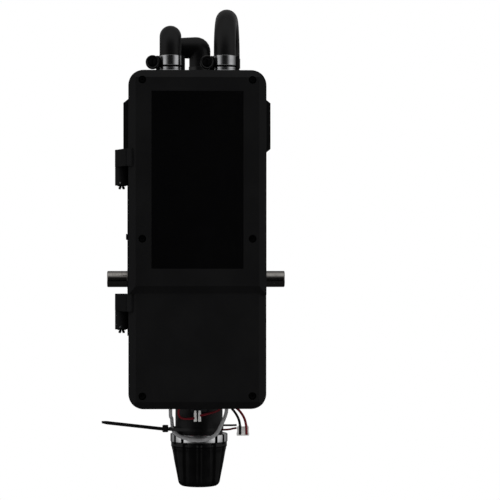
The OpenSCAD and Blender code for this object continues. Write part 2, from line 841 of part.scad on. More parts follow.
// A clamp's tightening knob and, at the front, its back shell, with the hose's axis at the
// origin
module clamp_housing(shell) {
    x = -clamp_out - knob_r + knob_sink;
    z = clamp_low + clamp_h / 2 - knob_low;
    low = -clamp_back_low;
    high = clamp_low + clamp_h;
    difference() {
        union() {
            if (shell) intersection() {
                rod_z(clamp_out + clamp_back_out, 0, 0, low, high);
                block(-hose_d, hose_d, 0, hose_d, low, high);
            }
            rod_y(knob_r, x, -knob_front, knob_t - knob_front, z);
            block(x, -clamp_in, knob_t - knob_front, housing_back, z - housing_h / 2,
                z + housing_h / 2);
            rod_y(housing_h / 2, x, knob_t - knob_front, housing_back, z);
        }
        rod_z(clamp_out + seat_gap, 0, 0, low - over, high + knob_r);
        translate([x, over - knob_front, z]) rotate([90, 0, 0])
            cylinder(r = knob_hex_r, h = 2 * over, $fn = 6);
    }
}
module clamp_screws() {
    color("#17181a") {
        for (p = front_stubs) translate(p) clamp_housing(true);
        for (p = rear_stubs) translate(p) rotate([0, 0, -90]) clamp_housing(false);
    }
}
module transformer_housing() {
    color("#131415") difference() {
        block(case_l, case_r, tray_back, -wall_t, case_bot, plate_top);
        block(case_l + case_t, case_r - case_t, tray_back + case_t, -wall_t + over,
            case_bot + case_t, plate_top - case_t);
        for (p = rear_stubs)
            rod_z(hose_bore / 2 - stub_wall, p[0], p[1], plate_top - case_t - over,
                plate_top + over);
    }
}
module transformer() {
    x = (case_l + case_r) / 2;
    z = (case_bot + plate_top) / 2;
    r = (plate_top - case_bot) / 2 - coil_room;
    color("#b4852f") difference() {
        rod_y(r, x, -wall_t - coil_w, -wall_t, z);
        rod_y(r * coil_hole_share, x, -wall_t - coil_w - over, -wall_t - coil_plate, z);
    }
}

// Control board and its pieces
floor_y = tray_back - tray_t;
board_back = floor_y - standoff_h;
board_front = board_back - board_t;
board_x = -board_w / 2;
board_in = 6;
hole_xs = [board_x + board_in, -board_x - board_in];
hole_zs = [board_z + board_in, board_z + board_h / 2, board_z + board_h - board_in];
// A box on the board, placed by shares of the board's width and height
module on_board(share, w, h, d) {
    x = board_x + share[0] * board_w;
    z = board_z + share[1] * board_h;
    block(x, x + w, board_front - d, board_front, z, z + h);
}
module control_board() {
    color("#14532d") difference() {
        block(board_x, -board_x, board_front, board_back, board_z, board_z + board_h);
        for (x = hole_xs, z = hole_zs)
            rod_y(small_d / 2, x, board_front - over, board_back + over, z);
    }
}
nut_h = 2.4;
thread_out = 1;
module board_standoffs() {
    color("#c9a24b") for (x = hole_xs, z = hole_zs) {
        rod_y(small_head_d / 2, x, board_back, floor_y, z);
        rod_y(small_d / 2 - seat_gap, x, board_front - nut_h - thread_out, board_back, z);
        rod_y(small_head_d / 2, x, board_front - nut_h, board_front, z);
    }
}
strip_count = 10;
strip_pitch = 10;
strip_h = 14;
strip_d = 14;
strip_share = [0.14, 0.05];
strip_screw_r = 2.6;
strip_screw_deep = 3;
strip_screw_up = 9;
module terminal_strip() {
    color("#2f7d4f") difference() {
        on_board(strip_share, strip_count * strip_pitch, strip_h, strip_d);
        for (i = [0:strip_count - 1])
            rod_y(strip_screw_r, board_x + strip_share[0] * board_w + (i + 1 / 2) * strip_pitch,
                board_front - strip_d - over, board_front - strip_d + strip_screw_deep,
                board_z + strip_share[1] * board_h + strip_screw_up);
    }
}
relay_shares = [[0.1, 0.2], [0.3, 0.2], [0.5, 0.2]];
relay_w = 26;
relay_h = 30;
relay_d = 18;
module relays() {
    color("#20262c") for (share = relay_shares) on_board(share, relay_w, relay_h, relay_d);
}
capacitor_shares = [[0.76, 0.27], [0.9, 0.27]];
capacitor_d = 16;
capacitor_h = 22;
module capacitors() {
    color("#1f2937") for (share = capacitor_shares)
        rod_y(capacitor_d / 2, board_x + share[0] * board_w, board_front - capacitor_h,
            board_front, board_z + share[1] * board_h);
}
sink_share = [0.62, 0.46];
sink_w = 46;
sink_h_share = 0.274;
sink_h = sink_h_share * board_h;
sink_d = 22;
sink_base = 4;
sink_fins = 7;
fin_t = 2.4;
module heat_sink() {
    fin_pitch = (sink_w - fin_t) / (sink_fins - 1);
    color("#a9acae") {
        on_board(sink_share, sink_w, sink_h, sink_base);
        for (i = [0:sink_fins - 1]) translate([i * fin_pitch, 0, 0])
            on_board(sink_share, fin_t, sink_h, sink_d);
    }
}
display_share = [0.1, 0.76];
display_w = 66;
display_h = 32;
display_d = 9;
module display() {
    color("#26333d") on_board(display_share, display_w, display_h, display_d);
}
button_d = 11;
button_out = 3;
button_shares = [0.65, 0.76, 0.87];
button_z_share = 0.84;
button_z = board_z + button_z_share * board_h;
button_base = 1;
frame_share = [0.575, 0.76];
frame_w = 56;
frame_h = 36;
frame_d = 8;
module button_frame() {
    color("#33373b") difference() {
        on_board(frame_share, frame_w, frame_h, frame_d);
        for (share = button_shares)
            rod_y(button_d / 2 + move_gap, board_x + share * board_w,
                board_front - frame_d - over, board_front - button_base, button_z);
    }
}
module push_button(share) {
    rod_y(button_d / 2, board_x + share * board_w, board_front - frame_d - button_out,
        board_front - button_base - button_travel - move_gap, button_z);
}
module open_button() {
    color("#d8d8d8") push_button(button_shares[0]);
}
module close_button() {
    color("#d8d8d8") push_button(button_shares[1]);
}
module stop_button() {
    color("#b3261e") push_button(button_shares[2]);
}
pack_w = 130;
pack_h = 84;
pack_d = 38;
pack_up = 32;
pack_z = tray_bot + tray_t + pack_up;
module battery_pack() {
    color("#2b3550") block(-pack_w / 2, pack_w / 2, floor_y - pack_d, floor_y, pack_z,
        pack_z + pack_h);
}
strap_t = 2;
strap_w = 20;
strap_foot = 16;
strap_down = 10;
module battery_strap() {
    z = pack_z + pack_h / 2 - strap_down;
    top = floor_y - pack_d - strap_t;
    color("#7c7f82") difference() {
        block(-pack_w / 2 - strap_foot, pack_w / 2 + strap_foot, top, floor_y, z, z + strap_w);
        for (s = [0, 1]) mirror([s, 0, 0])
            block(pack_w / 2 + strap_t, pack_w / 2 + strap_foot + over, top - over,
                floor_y - strap_t, z - over, z + strap_w + over);
        block(-pack_w / 2, pack_w / 2, top + strap_t, floor_y + over, z - over,
            z + strap_w + over);
    }
}

// Cables under the box
module grey_cable() {
    color("#8a8c8e") cord(grey_route, grey_cable_d / 2, 10, 4);
}
module red_leads() {
    color("#8f1220") {
        cord(red_route_1, lead_d / 2, 8, 4);
        cord(red_route_2, lead_d / 2, 8, 4);
    }
}
module harness_wires() {
    color("#7c1420") {
        cord(red_wire_route, lead_d / 2, 8, 4);
        cord(black_wire_route, lead_d / 2, 8, 4);
        cord(short_black_route, lead_d / 2, 8, 3);
        cord(short_red_route, lead_d / 2, 8, 3);
    }
}
wire_room = 0.1;
plug_box = [[61, 80], [-185, -175], [-237.7, -222.6]];
module wire_connector() {
    y = black_wire_route[3][1];
    low = black_wire_route[3][2];
    color("#e8e6df") difference() {
        block(plug_box[0][0], plug_box[0][1], plug_box[1][0], plug_box[1][1], plug_box[2][0],
            plug_box[2][1]);
        for (p = [black_wire_route[3], red_wire_route[3]])
            rod_z(lead_d / 2 + wire_room, p[0], y, low, plug_box[2][1] + over);
    }
}
tie_z = -228;
tie_w = 4.8;
tie_t = 1.2;
tie_head = 9;
tie_tail = 94;
tie_tilt = 6.5;
tie_gap = 0.1;
tie_slack = 2.3;
tie_tail_in = 0.5;
tie_cable = [-36.5, -153];
module tie_outline(t) {
    hull() {
        translate([drive_x, worm_y]) circle(r = can_r + tie_gap + t);
        translate(tie_cable) circle(r = grey_cable_d / 2 + tie_slack + t, $fn = 24);
    }
}
module cable_tie() {
    color("#0a0a0a") translate([0, 0, tie_z - tie_w / 2]) {
        difference() {
            linear_extrude(tie_w) tie_outline(tie_t);
            translate([0, 0, -over]) linear_extrude(tie_w + 2 * over) tie_outline(0);
        }
        translate([tie_cable[0] - grey_cable_d / 2 - tie_slack - tie_t, tie_cable[1], 0]) {
            block(-tie_head, 0, -tie_head / 2, tie_head / 2, -tie_t, tie_head);
            translate([-tie_head, 0, tie_w / 2]) rotate([0, tie_tilt, 0])
                block(-tie_tail, tie_tail_in, -tie_t / 2, tie_t / 2, -tie_w / 2, tie_w / 2);
        }
    }
}

// Pieces that turn with the output shaft
ring_groove_w = 1.6;
ring_groove_deep = 1;
end_chamfer = 1;
ring_off = 0.5;
ring_out = 3;
module output_shaft() {
    r = shaft_d / 2;
    half = shaft_len / 2;
    key_deep = key_w / 2;
    color("#b8babc") difference() {
        translate([-half, -shaft_off, 0]) rotate([0, 90, 0]) {
            translate([0, 0, end_chamfer]) cylinder(r = r, h = shaft_len - 2 * end_chamfer);
            cylinder(r1 = r - end_chamfer, r2 = r, h = end_chamfer);
            translate([0, 0, shaft_len - end_chamfer])
                cylinder(r1 = r, r2 = r - end_chamfer, h = end_chamfer);
        }
        for (s = [0, 1]) mirror([s, 0, 0]) {
            difference() {
                rod_x(r + over, side_x + ring_off, side_x + ring_off + ring_groove_w,
                    -shaft_off, 0);
                rod_x(r - ring_groove_deep, side_x, side_x + over + ring_groove_w, -shaft_off, 0);
            }
            block(half - keyway_len, half + over, -shaft_off + r - key_deep, -shaft_off + r + over,
                -key_w / 2, key_w / 2);
        }
        block(drive_x - wheel_w, drive_x + wheel_w, -shaft_off - key_w / 2, -shaft_off + key_w / 2,
            r - key_deep, r + over);
    }
}
module shaft_key() {
    r = shaft_d / 2;
    color("#8f9193") block(drive_x - wheel_w + seat_gap, drive_x + wheel_w - seat_gap,
        -shaft_off - key_w / 2 + seat_gap, -shaft_off + key_w / 2 - seat_gap,
        r - key_w / 2 + seat_gap, r + key_w / 2 - seat_gap);
}
module wheel_tooth() {
    half_pitch = lead / 4 - flank_gap;
    root = half_pitch + dedendum * tan(pressure);
    tip = half_pitch - addendum * tan(pressure);
    rotate([0, 90, 0]) translate([0, 0, -wheel_w / 2]) linear_extrude(wheel_w)
        polygon([[-root, -wheel_root_r + tooth_sink], [-root, -wheel_root_r],
            [-tip, -wheel_tip_r], [tip, -wheel_tip_r], [root, -wheel_root_r],
            [root, -wheel_root_r + tooth_sink]]);
}
module worm_wheel() {
    hub_half = bearing_in - move_gap;
    color("#a8813c") translate([drive_x, -shaft_off, 0]) difference() {
        union() {
            rod_x(wheel_root_r, -wheel_w / 2, wheel_w / 2, 0, 0);
            rod_x(hub_d / 2, -hub_half, hub_half, 0, 0);
            for (i = [0:wheel_teeth - 1]) rotate([360 * i / wheel_teeth, 0, 0])
                rotate([0, lead_angle, 0]) wheel_tooth();
        }
        rod_x(shaft_d / 2 + seat_gap, -hub_half - over, hub_half + over, 0, 0);
        block(-hub_half - over, hub_half + over, -key_w / 2, key_w / 2, 0,
            shaft_d / 2 + key_w / 2);
    }
}
module retaining_rings() {
    color("#55585a") for (s = [0, 1]) mirror([s, 0, 0]) difference() {
        rod_x(shaft_d / 2 + ring_out, side_x + ring_off + seat_gap,
            side_x + ring_off + ring_groove_w - seat_gap, -shaft_off, 0);
        rod_x(shaft_d / 2 - ring_groove_deep + seat_gap, side_x, side_x + over + ring_groove_w,
            -shaft_off, 0);
    }
}

// Pieces that turn with the worm
module worm_thread() {
    half_pitch = lead / 4 - flank_gap;
    root = half_pitch + dedendum * tan(pressure);
    tip = half_pitch - addendum * tan(pressure);
    count = worm_turns * worm_steps;
    points = [for (i = [0:count], q = [[worm_root_r - thread_sink, -root], [worm_tip_r, -tip],
        [worm_tip_r, tip], [worm_root_r - thread_sink, root]]) let (a = 90 + 360 * i / worm_steps)
        [q[0] * cos(a), q[0] * sin(a), lead * (i / worm_steps - worm_turns / 2) + q[1]]];
    sides = [for (i = [0:count - 1], j = [0:3]) let (k = (j + 1) % 4)
        [4 * i + j, 4 * i + k, 4 * i + 4 + k, 4 * i + 4 + j]];
    polyhedron(points, concat(sides, [[3, 2, 1, 0], [for (j = [0:3]) 4 * count + j]]));
}
module worm_shaft() {
    low = cavity_bot + move_gap;
    high = cavity_top - move_gap;
    color("#9fa2a4") translate([drive_x, worm_y, 0]) {
        rod_z(worm_root_r, 0, 0, low, high);
        rod_z(journal_d / 2, 0, 0, high, worm_top_z - over);
        rod_z(journal_d / 2, 0, 0, can_bot - shaft_tail, low);
        worm_thread();
    }
}
module motor_rotor() {
    color("#7a4a24") translate([drive_x, worm_y, 0]) difference() {
        union() {
            rod_z(rotor_r, 0, 0, rotor_bot, rotor_top);
            rod_z(commutator_r, 0, 0, can_bot + end_plate_h + commutator_up, rotor_bot);
        }
        rod_z(journal_d / 2 + seat_gap, 0, 0, can_bot, rotor_top + over);
        for (i = [0:rotor_slots - 1]) rotate([0, 0, 360 * i / rotor_slots])
            block(-rotor_slot_w / 2, rotor_slot_w / 2, -rotor_r - over,
                -rotor_r + rotor_slot_deep, rotor_bot - over, rotor_top + over);
    }
}

// Front cover
module face_form(inset, face, z0, z1, slope) {
    side = face + bevel_d;
    back = cover_rim + (inset > 0 ? over : 0);
    w = half_w - inset;
    top = z1 - inset;
    front = face + inset;
    intersection() {
        slab(front, back) round_rect(-w, w, cover_bot + inset, cover_top - inset,
            cover_corner - inset);
        translate([-w, 0, 0]) rotate([90, 0, 90]) linear_extrude(2 * w)
            polygon([[back, z0], [side + inset, z0], [front, z0 + slope],
                [front, top - bevel_w], [side + inset, top], [back, top]]);
        translate([0, 0, cover_bot]) linear_extrude(cover_top - cover_bot)
            polygon([[-w, back], [-w, side + inset], [-w + bevel_w, front],
                [w - bevel_w, front], [w, side + inset], [w, back]]);
    }
}
module cover_form(inset) {
    face_form(inset, low_face, cover_bot + inset, cover_top, bevel_w);
    intersection() {
        face_form(inset, high_face, step_z + inset, cover_top, step_rise);
        translate([0, 0, step_z]) linear_extrude(cover_top - step_z)
            translate([-half_w, high_face]) square([cover_w, cover_rim + over - high_face]);
    }
}
screw_gap = 0.1;
label_deep = 1.4;
label_sunk = 0.2;
label_gap = 0.2;
module front_cover() {
    rim = cover_rim;
    color("#101112") difference() {
        union() {
            difference() {
                cover_form(0);
                cover_form(cover_t);
            }
            intersection() {
                cover_form(0);
                at_cover_screws() rod_y(boss_d / 2, 0, high_face, rim, 0);
            }
            upper_leaves();
        }
        at_cover_screws() rod_y(screw_d / 2 + screw_gap, 0, high_face - over, rim + over, 0);
        for (x = screw_xs) {
            rod_y(recess_d / 2, x, high_face - over, low_face + recess_deep, screw_zs[0]);
            for (i = [1, 2])
                rod_y(recess_d / 2, x, high_face - over, high_face + recess_deep, screw_zs[i]);
        }
        block(-label_w / 2, label_w / 2, high_face - over, high_face + label_deep, label_z,
            label_z + label_h);
        for (top = [hinge_top_1, hinge_top_2])
            rod_z(hinge_pin_d / 2 + run_gap, hinge_x, hinge_y, top - knuckle_up - over,
                top - pin_short + move_gap);
    }
}
leaf_reach = 7;
leaf_sink = 2;
module upper_leaves() {
    share = (bevel_w - leaf_reach) / bevel_w;
    for (i = [0, 1]) {
        top = [hinge_top_1, hinge_top_2][i];
        face = i == 0 ? high_face : low_face;
        side = face + bevel_d;
        rod_z(knuckle_d / 2, hinge_x, hinge_y, top - knuckle_up, top);
        translate([0, 0, top - knuckle_up]) linear_extrude(knuckle_up) polygon([
            [hinge_x, hinge_y - knuckle_d / 2], [-half_w - leaf_t, side - leaf_t],
            [-half_w + leaf_reach - leaf_t, face - leaf_t + share * bevel_d],
            [-half_w + leaf_reach, face + share * bevel_d],
            [-half_w, side], [-half_w, hinge_y - leaf_sink], [hinge_x, hinge_y - leaf_sink]]);
    }
}
module label_panel() {
    color("#060607") block(-label_w / 2 + label_gap, label_w / 2 - label_gap,
        high_face + label_sunk, high_face + label_deep, label_z + label_gap,
        label_z + label_h - label_gap);
}
module cover_screws() {
    color("#2b2d2f") for (x = screw_xs, i = [0:2]) {
        seat = (i == 0 ? low_face : high_face) + recess_deep;
        difference() {
            union() {
                rod_y(screw_head_d / 2, x, seat - screw_head_h, seat, screw_zs[i]);
                rod_y(screw_d / 2, x, seat, cover_rim + gasket_t + tip_len, screw_zs[i]);
            }
            translate([x, seat - screw_head_h + hex_deep, screw_zs[i]]) rotate([90, 0, 0])
                cylinder(r = hex_r, h = 2 * hex_deep, $fn = 6);
        }
    }
}

wall_plate();
left_side_plate();
right_side_plate();
frame_bolts();
gearbox_bracket();
gear_housing();
gear_cover();
gear_cover_screws();
output_bearings();
shaft_seals();
worm_bearings();
motor_flange();
motor_can();
motor_magnets();
motor_end_plate();
brush_holder();
encoder();
motor_clamp_ring();
motor_boot();
motor_terminals();
enclosure_base();
side_plugs();
cover_gasket();
lower_knuckles();
hinge_pins();
hose_stubs();
left_hose();
right_hose();
hose_clamps();
clamp_screws();
transformer_housing();
transformer();
control_board();
board_standoffs();
terminal_strip();
relays();
capacitors();
heat_sink();
display();
button_frame();
battery_pack();
battery_strap();
grommets();
grey_cable();
red_leads();
harness_wires();
wire_connector();
cable_tie();
output_shaft();
shaft_key();
worm_wheel();
retaining_rings();
worm_shaft();
motor_rotor();
front_cover();
label_panel();
cover_screws();
open_button();
close_button();
stop_button();
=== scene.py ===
# %% [markdown]
# # A wall-mounted door operator, built up around its packed CAD frame
# The frame brings every solid in metres, with +Z up and +Y into the wall. This notebook
# keeps the solids whose shape is right and gives them real finishes. It replaces the
# soft, wound and finely detailed ones with surfaces worked out as numpy arrays.

import math

import bpy
import numpy as np
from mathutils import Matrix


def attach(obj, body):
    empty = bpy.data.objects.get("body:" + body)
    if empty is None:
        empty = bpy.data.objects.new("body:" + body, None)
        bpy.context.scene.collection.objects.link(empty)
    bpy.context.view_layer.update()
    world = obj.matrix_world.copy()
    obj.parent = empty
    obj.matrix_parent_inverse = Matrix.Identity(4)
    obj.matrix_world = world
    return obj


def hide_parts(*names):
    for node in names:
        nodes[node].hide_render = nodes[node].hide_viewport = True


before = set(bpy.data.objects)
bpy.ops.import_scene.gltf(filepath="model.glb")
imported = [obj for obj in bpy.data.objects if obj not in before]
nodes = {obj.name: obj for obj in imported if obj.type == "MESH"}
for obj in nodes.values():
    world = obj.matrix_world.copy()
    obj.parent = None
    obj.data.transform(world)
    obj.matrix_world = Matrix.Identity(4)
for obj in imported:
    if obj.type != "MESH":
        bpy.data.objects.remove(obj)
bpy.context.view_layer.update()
MM = 0.001


def in_scene(name, data):
    """New object with the data, linked into the scene."""
    made = bpy.data.objects.new(name, data)
    bpy.context.scene.collection.objects.link(made)
    return made


# %% [markdown]
# ## The camera
# The photograph looks straight along +Y from about 3.2 m, level with the middle of the
# cover and a little left of it. The ovals of the hose clamps above and of the boot
# below open by an amount that only fits that distance. A long lens gives 1.57 mm a
# pixel in the shaft's plane, and a small turn to the right, in place of a shift, puts
# the operator left of the middle as it was framed.

# %% Camera
SHAFT_Y, LEVEL = -90.0, 45.5
CAMERA_AT = np.array([-38.0, -3290.0, LEVEL]) * MM
AIM_AT = np.array([84.8, SHAFT_Y, LEVEL]) * MM
SENSOR, FRAME_WIDTH = 36.0, 785 * MM
distance = AIM_AT[1] - CAMERA_AT[1]

lens = bpy.data.cameras.new("photo_lens")
lens.sensor_width = SENSOR
lens.lens = SENSOR * distance / FRAME_WIDTH
lens.clip_start, lens.clip_end = 0.1, 200.0
camera = in_scene("photo_camera", lens)
bpy.context.scene.camera = camera
camera.location = CAMERA_AT
turn_right = math.atan2(AIM_AT[0] - CAMERA_AT[0], distance)
camera.rotation_euler = (math.radians(90), 0, -turn_right)
print("lens", round(lens.lens, 1), "mm, turned", round(math.degrees(turn_right), 2), "degrees")

# %% [markdown]
# ## Surfaces from rings
# Nearly every moulded, turned or drawn piece here is a row of rings: a hose is a circle
# carried along a path, a boot is a profile turned about an axis, a relay is a rounded
# outline lifted from its foot to its top. So one helper joins a grid of ring points
# into a closed skin, and the others only say where the rings lie. Lengths are in mm.

# %% Join rings into a closed skin
def points(*parts):
    """Points with these coordinates, numbers or arrays, spread to one shape."""
    return np.stack(np.broadcast_arrays(*parts), -1)


def skin(rings, loop=False):
    """Closed surface through rings[i, j]: quad (i, j), (i, j+1), (i+1, j+1), (i+1, j),
    with j wrapping round. Flat caps close both ends, or the last ring meets the first
    one with loop. The volume, the sum of p0 . (p1 x p2) / 6 over all triangles, is made
    positive so that faces point outwards. UV is (share of the way round, metres along)."""
    rings = np.asarray(rings, float) * MM
    n, m = rings.shape[:2]
    i, j = np.meshgrid(np.arange(n if loop else n - 1), np.arange(m), indexing="ij")
    i2, j2 = (i + 1) % n, (j + 1) % m
    quads = points(i * m + j, i * m + j2, i2 * m + j2, i2 * m + j).reshape(-1, 4)
    step = np.linalg.norm(np.roll(rings, -1, 0) - rings, axis=2).mean(1)
    along = np.concatenate([[0], np.cumsum(step)])
    u0, u1, v0, v1 = j / m, (j + 1) / m, along[i], along[i + 1]
    uv = points(u0, v0, u1, v0, u1, v1, u0, v1).reshape(-1, 4, 2)
    p = rings.reshape(-1, 3)
    a, b, c, d = (p[quads[:, k]] for k in range(4))
    volume = (a * np.cross(b, c)).sum() + (a * np.cross(c, d)).sum()
    caps = []
    if not loop:
        for ring, way in ((np.arange(m)[::-1], 0), (np.arange(m) + (n - 1) * m, n - 1)):
            q = p[ring]
            volume += (q.mean(0) * np.cross(q, np.roll(q, -1, 0))).sum()
            caps.append((ring, np.full((m, 2), [0, along[way]])))
    if volume < 0:
        quads, uv = quads[:, ::-1], uv[:, ::-1]
        caps = [(ring[::-1], t) for ring, t in caps]
    faces = quads.tolist() + [ring.tolist() for ring, t in caps]
    return p, faces, np.concatenate([uv.reshape(-1, 2)] + [t for ring, t in caps])


def copies(one, places):
    """The same skin with each place added to all its points."""
    return [(one[0] + np.asarray(p, float) * MM, one[1], one[2]) for p in places]


print("a cube of rings has", len(skin([[(x, y, z) for x, y in ((0, 0), (1, 0), (1, 1), (0, 1))]
                                        for z in (0, 1)])[1]), "faces")


# %% One object from several skins
def piece(name, skins, finish, replaces=(), body="chassis", crease=32):
    """Stacks the skins' points and shifts each face by the points before it, then shades
    faces smooth where they meet under the crease angle, in degrees."""
    stacked = np.concatenate([s[0] for s in skins])
    starts = np.cumsum([0] + [len(s[0]) for s in skins[:-1]])
    faces = [[k + start for k in f] for s, start in zip(skins, starts.tolist()) for f in s[1]]
    mesh = bpy.data.meshes.new(name)
    mesh.from_pydata(stacked.tolist(), [], faces)
    layer = mesh.uv_layers.new(name="UVMap")
    layer.data.foreach_set("uv", np.concatenate([s[2] for s in skins]).astype(np.float32).ravel())
    mesh.shade_smooth()
    mesh.set_sharp_from_angle(angle=math.radians(crease))
    mesh.materials.append(finish)
    made = in_scene(name, mesh)
    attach(made, body)
    if replaces:
        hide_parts(*([replaces] if isinstance(replaces, str) else replaces))
    print(name, len(faces), "faces")
    return made


# %% Rings about an axis
def angles(sides):
    """Even angles of a full turn."""
    return np.linspace(0, 2 * np.pi, sides, endpoint=False)


def arc(centre, radius, a):
    """Flat points centre + radius x (cos a, sin a); the radius is a number or a pair."""
    return np.asarray(centre) + np.asarray(radius) * points(np.cos(a), np.sin(a))


def turned(rows, centre, axis="z", sides=48, loop=False):
    """Rows are (radius, height), the radius a number or one number for each angle. Ring
    point = centre + height x axis + radius x (cos a, sin a) across it."""
    a = angles(sides)
    r = np.stack([np.broadcast_to(np.asarray(row[0], float), (sides,)) for row in rows])
    x, y, z = r * np.cos(a), r * np.sin(a), np.array([row[1] for row in rows])[:, None]
    order = {"z": (x, y, z), "x": (z, x, y), "y": (y, z, x)}[axis]
    return skin(points(*order) + centre, loop)


# %% Rings for boxes with round corners and rims
def outline(half_u, half_v, corner, per_corner=6):
    """Closed outline: four quarter circles of the corner radius about (half_u - corner,
    half_v - corner) in the four quadrants, joined by straight runs."""
    a = np.linspace(0, np.pi / 2, per_corner)
    turn = np.concatenate([a + k * np.pi / 2 for k in range(4)])
    cu = np.repeat([1, -1, -1, 1], per_corner) * (half_u - corner)
    cv = np.repeat([1, 1, -1, -1], per_corner) * (half_v - corner)
    return arc(points(cu, cv), corner, turn)


def block(low, high, axis=1, corner=2.0, rim=0.6, per_corner=5, rim_steps=3):
    """Box from low to high, seen along its axis as a rounded outline. Near each end the
    outline moves in by rim (1 - sin t) at depth rim (1 - cos t), t from 0 to 90 degrees,
    which rolls the rim over as a quarter circle."""
    low, high = np.array(low, float), np.array(high, float)
    u, v = [(1, 2), (2, 0), (0, 1)][axis]
    middle, half = (low + high) / 2, (high - low) / 2
    t = np.linspace(0, np.pi / 2, rim_steps)
    inset, deep = rim * (1 - np.sin(t)), rim * (1 - np.cos(t))
    insets = np.concatenate([inset, inset[::-1]])
    depths = np.concatenate([low[axis] + deep, high[axis] - deep[::-1]])
    rings = np.zeros((len(insets), 4 * per_corner, 3))
    for ring, inward, depth in zip(rings, insets, depths):
        flat = outline(half[u] - inward, half[v] - inward, max(corner - inward, 0.05), per_corner)
        ring[:, [u, v]] = flat + middle[[u, v]]
        ring[:, axis] = depth
    return skin(rings)


def lifted(rows):
    """Rings from rows of (x, y outline, height z)."""
    return np.stack([points(*np.transpose(flat), z) for flat, z in rows])


# %% Straight runs joined by smooth bends
def route(polygon, per_bend=10):
    """Smooth line through a control polygon: straight from its first point to the first
    midpoint, at each inner point P the bend (1-t)^2 M0 + 2t(1-t) P + t^2 M1 between the
    midpoints M0 and M1 of its two sides, and straight again to the last point."""
    p = np.asarray(polygon, float)
    m = (p[:-1] + p[1:]) / 2
    t = np.linspace(0, 1, per_bend, endpoint=False)[:, None]
    bends = [(1 - t) ** 2 * m[k - 1] + 2 * t * (1 - t) * p[k] + t**2 * m[k]
             for k in range(1, len(p) - 1)]
    return np.concatenate([p[:1]] + bends + [m[-1:], p[-1:]])


def filleted(polygon, radii, per_bend=14):
    """Straight runs joined by arcs. At each inner point P with unit directions u back
    and v on, and half turn h = (180 - angle(u, v)) / 2, the arc leaves P at a distance
    T = R tan(h) both ways, about the centre P + (u + v) / |u + v| x R / cos(h)."""
    p = np.asarray(polygon, float)
    line = [p[:1]]
    for k, r in enumerate(radii, 1):
        u, v = p[k - 1] - p[k], p[k + 1] - p[k]
        u, v = u / np.linalg.norm(u), v / np.linalg.norm(v)
        half = (np.pi - np.arccos(np.clip(u @ v, -1, 1))) / 2
        centre = p[k] + (u + v) / np.linalg.norm(u + v) * r / np.cos(half)
        start = p[k] + u * r * np.tan(half) - centre
        along = -u - (-u @ (start / r)) * (start / r)
        a = np.linspace(0, 2 * half, per_bend)[:, None]
        line.append(centre + start * np.cos(a) + along / np.linalg.norm(along) * r * np.sin(a))
    return np.concatenate(line + [p[-1:]])


# %% Rings along a path
def even(path, count):
    """The same line at count points with equal distance between them."""
    at = np.concatenate([[0], np.cumsum(np.linalg.norm(np.diff(path, axis=0), axis=1))])
    want = np.linspace(0, at[-1], count)
    return np.stack([np.interp(want, at, path[:, k]) for k in range(3)], -1)


def length_of(path):
    """Sum of the distances between neighbouring points."""
    return np.linalg.norm(np.diff(path, axis=0), axis=1).sum()


def across(path, sides, guide=(0.61, -0.77, 0.2)):
    """Unit vectors n cos a + b sin a from each path point to its ring, n = tangent x
    guide and b = tangent x n. So the guide must never lie along the path."""
    tangent = np.gradient(path, axis=0)
    tangent /= np.linalg.norm(tangent, axis=1)[:, None]
    n = np.cross(tangent, guide)
    n /= np.linalg.norm(n, axis=1)[:, None]
    a = angles(sides)[:, None]
    return n[:, None] * np.cos(a) + np.cross(tangent, n)[:, None] * np.sin(a)


def tube(path, radius, sides=16, **guide):
    """Circle of the radius, one number or one per point, carried along the path."""
    p = np.asarray(path, float)
    r = np.broadcast_to(radius, len(p))[:, None, None]
    return skin(p[:, None] + across(p, sides, **guide) * r)


print("ring helpers ready")

# %% [markdown]
# ## Shader groups that several finishes share
# A finish is believable when its colour, its gloss and its surface all vary a little, at
# the scale of the real thing. Four effects come back in nearly every finish: moulded or
# sprayed grain, slow colour variation, dust on faces that look up, and fine rubbing
# marks. Each is a node group, built once, that only puts out masks and heights. Every
# material then adds its own Principled shader and its own values.

# %% Fill and add nodes
def fill(node, **inputs):
    """Sets inputs by label: each value is a field, a number, a vector or an RGB colour."""
    for label, value in inputs.items():
        socket = node.inputs[label.replace("_", " ")]
        if isinstance(value, Field):
            node.id_data.links.new(value.socket, socket)
        else:
            socket.default_value = (*value, 1.0) if socket.type == "RGBA" else value
    return node


def add(tree, kind, **inputs):
    """New shader node of a kind, with its inputs filled."""
    return fill(tree.nodes.new("ShaderNode" + kind), **inputs)


print("fill() and add() ready")


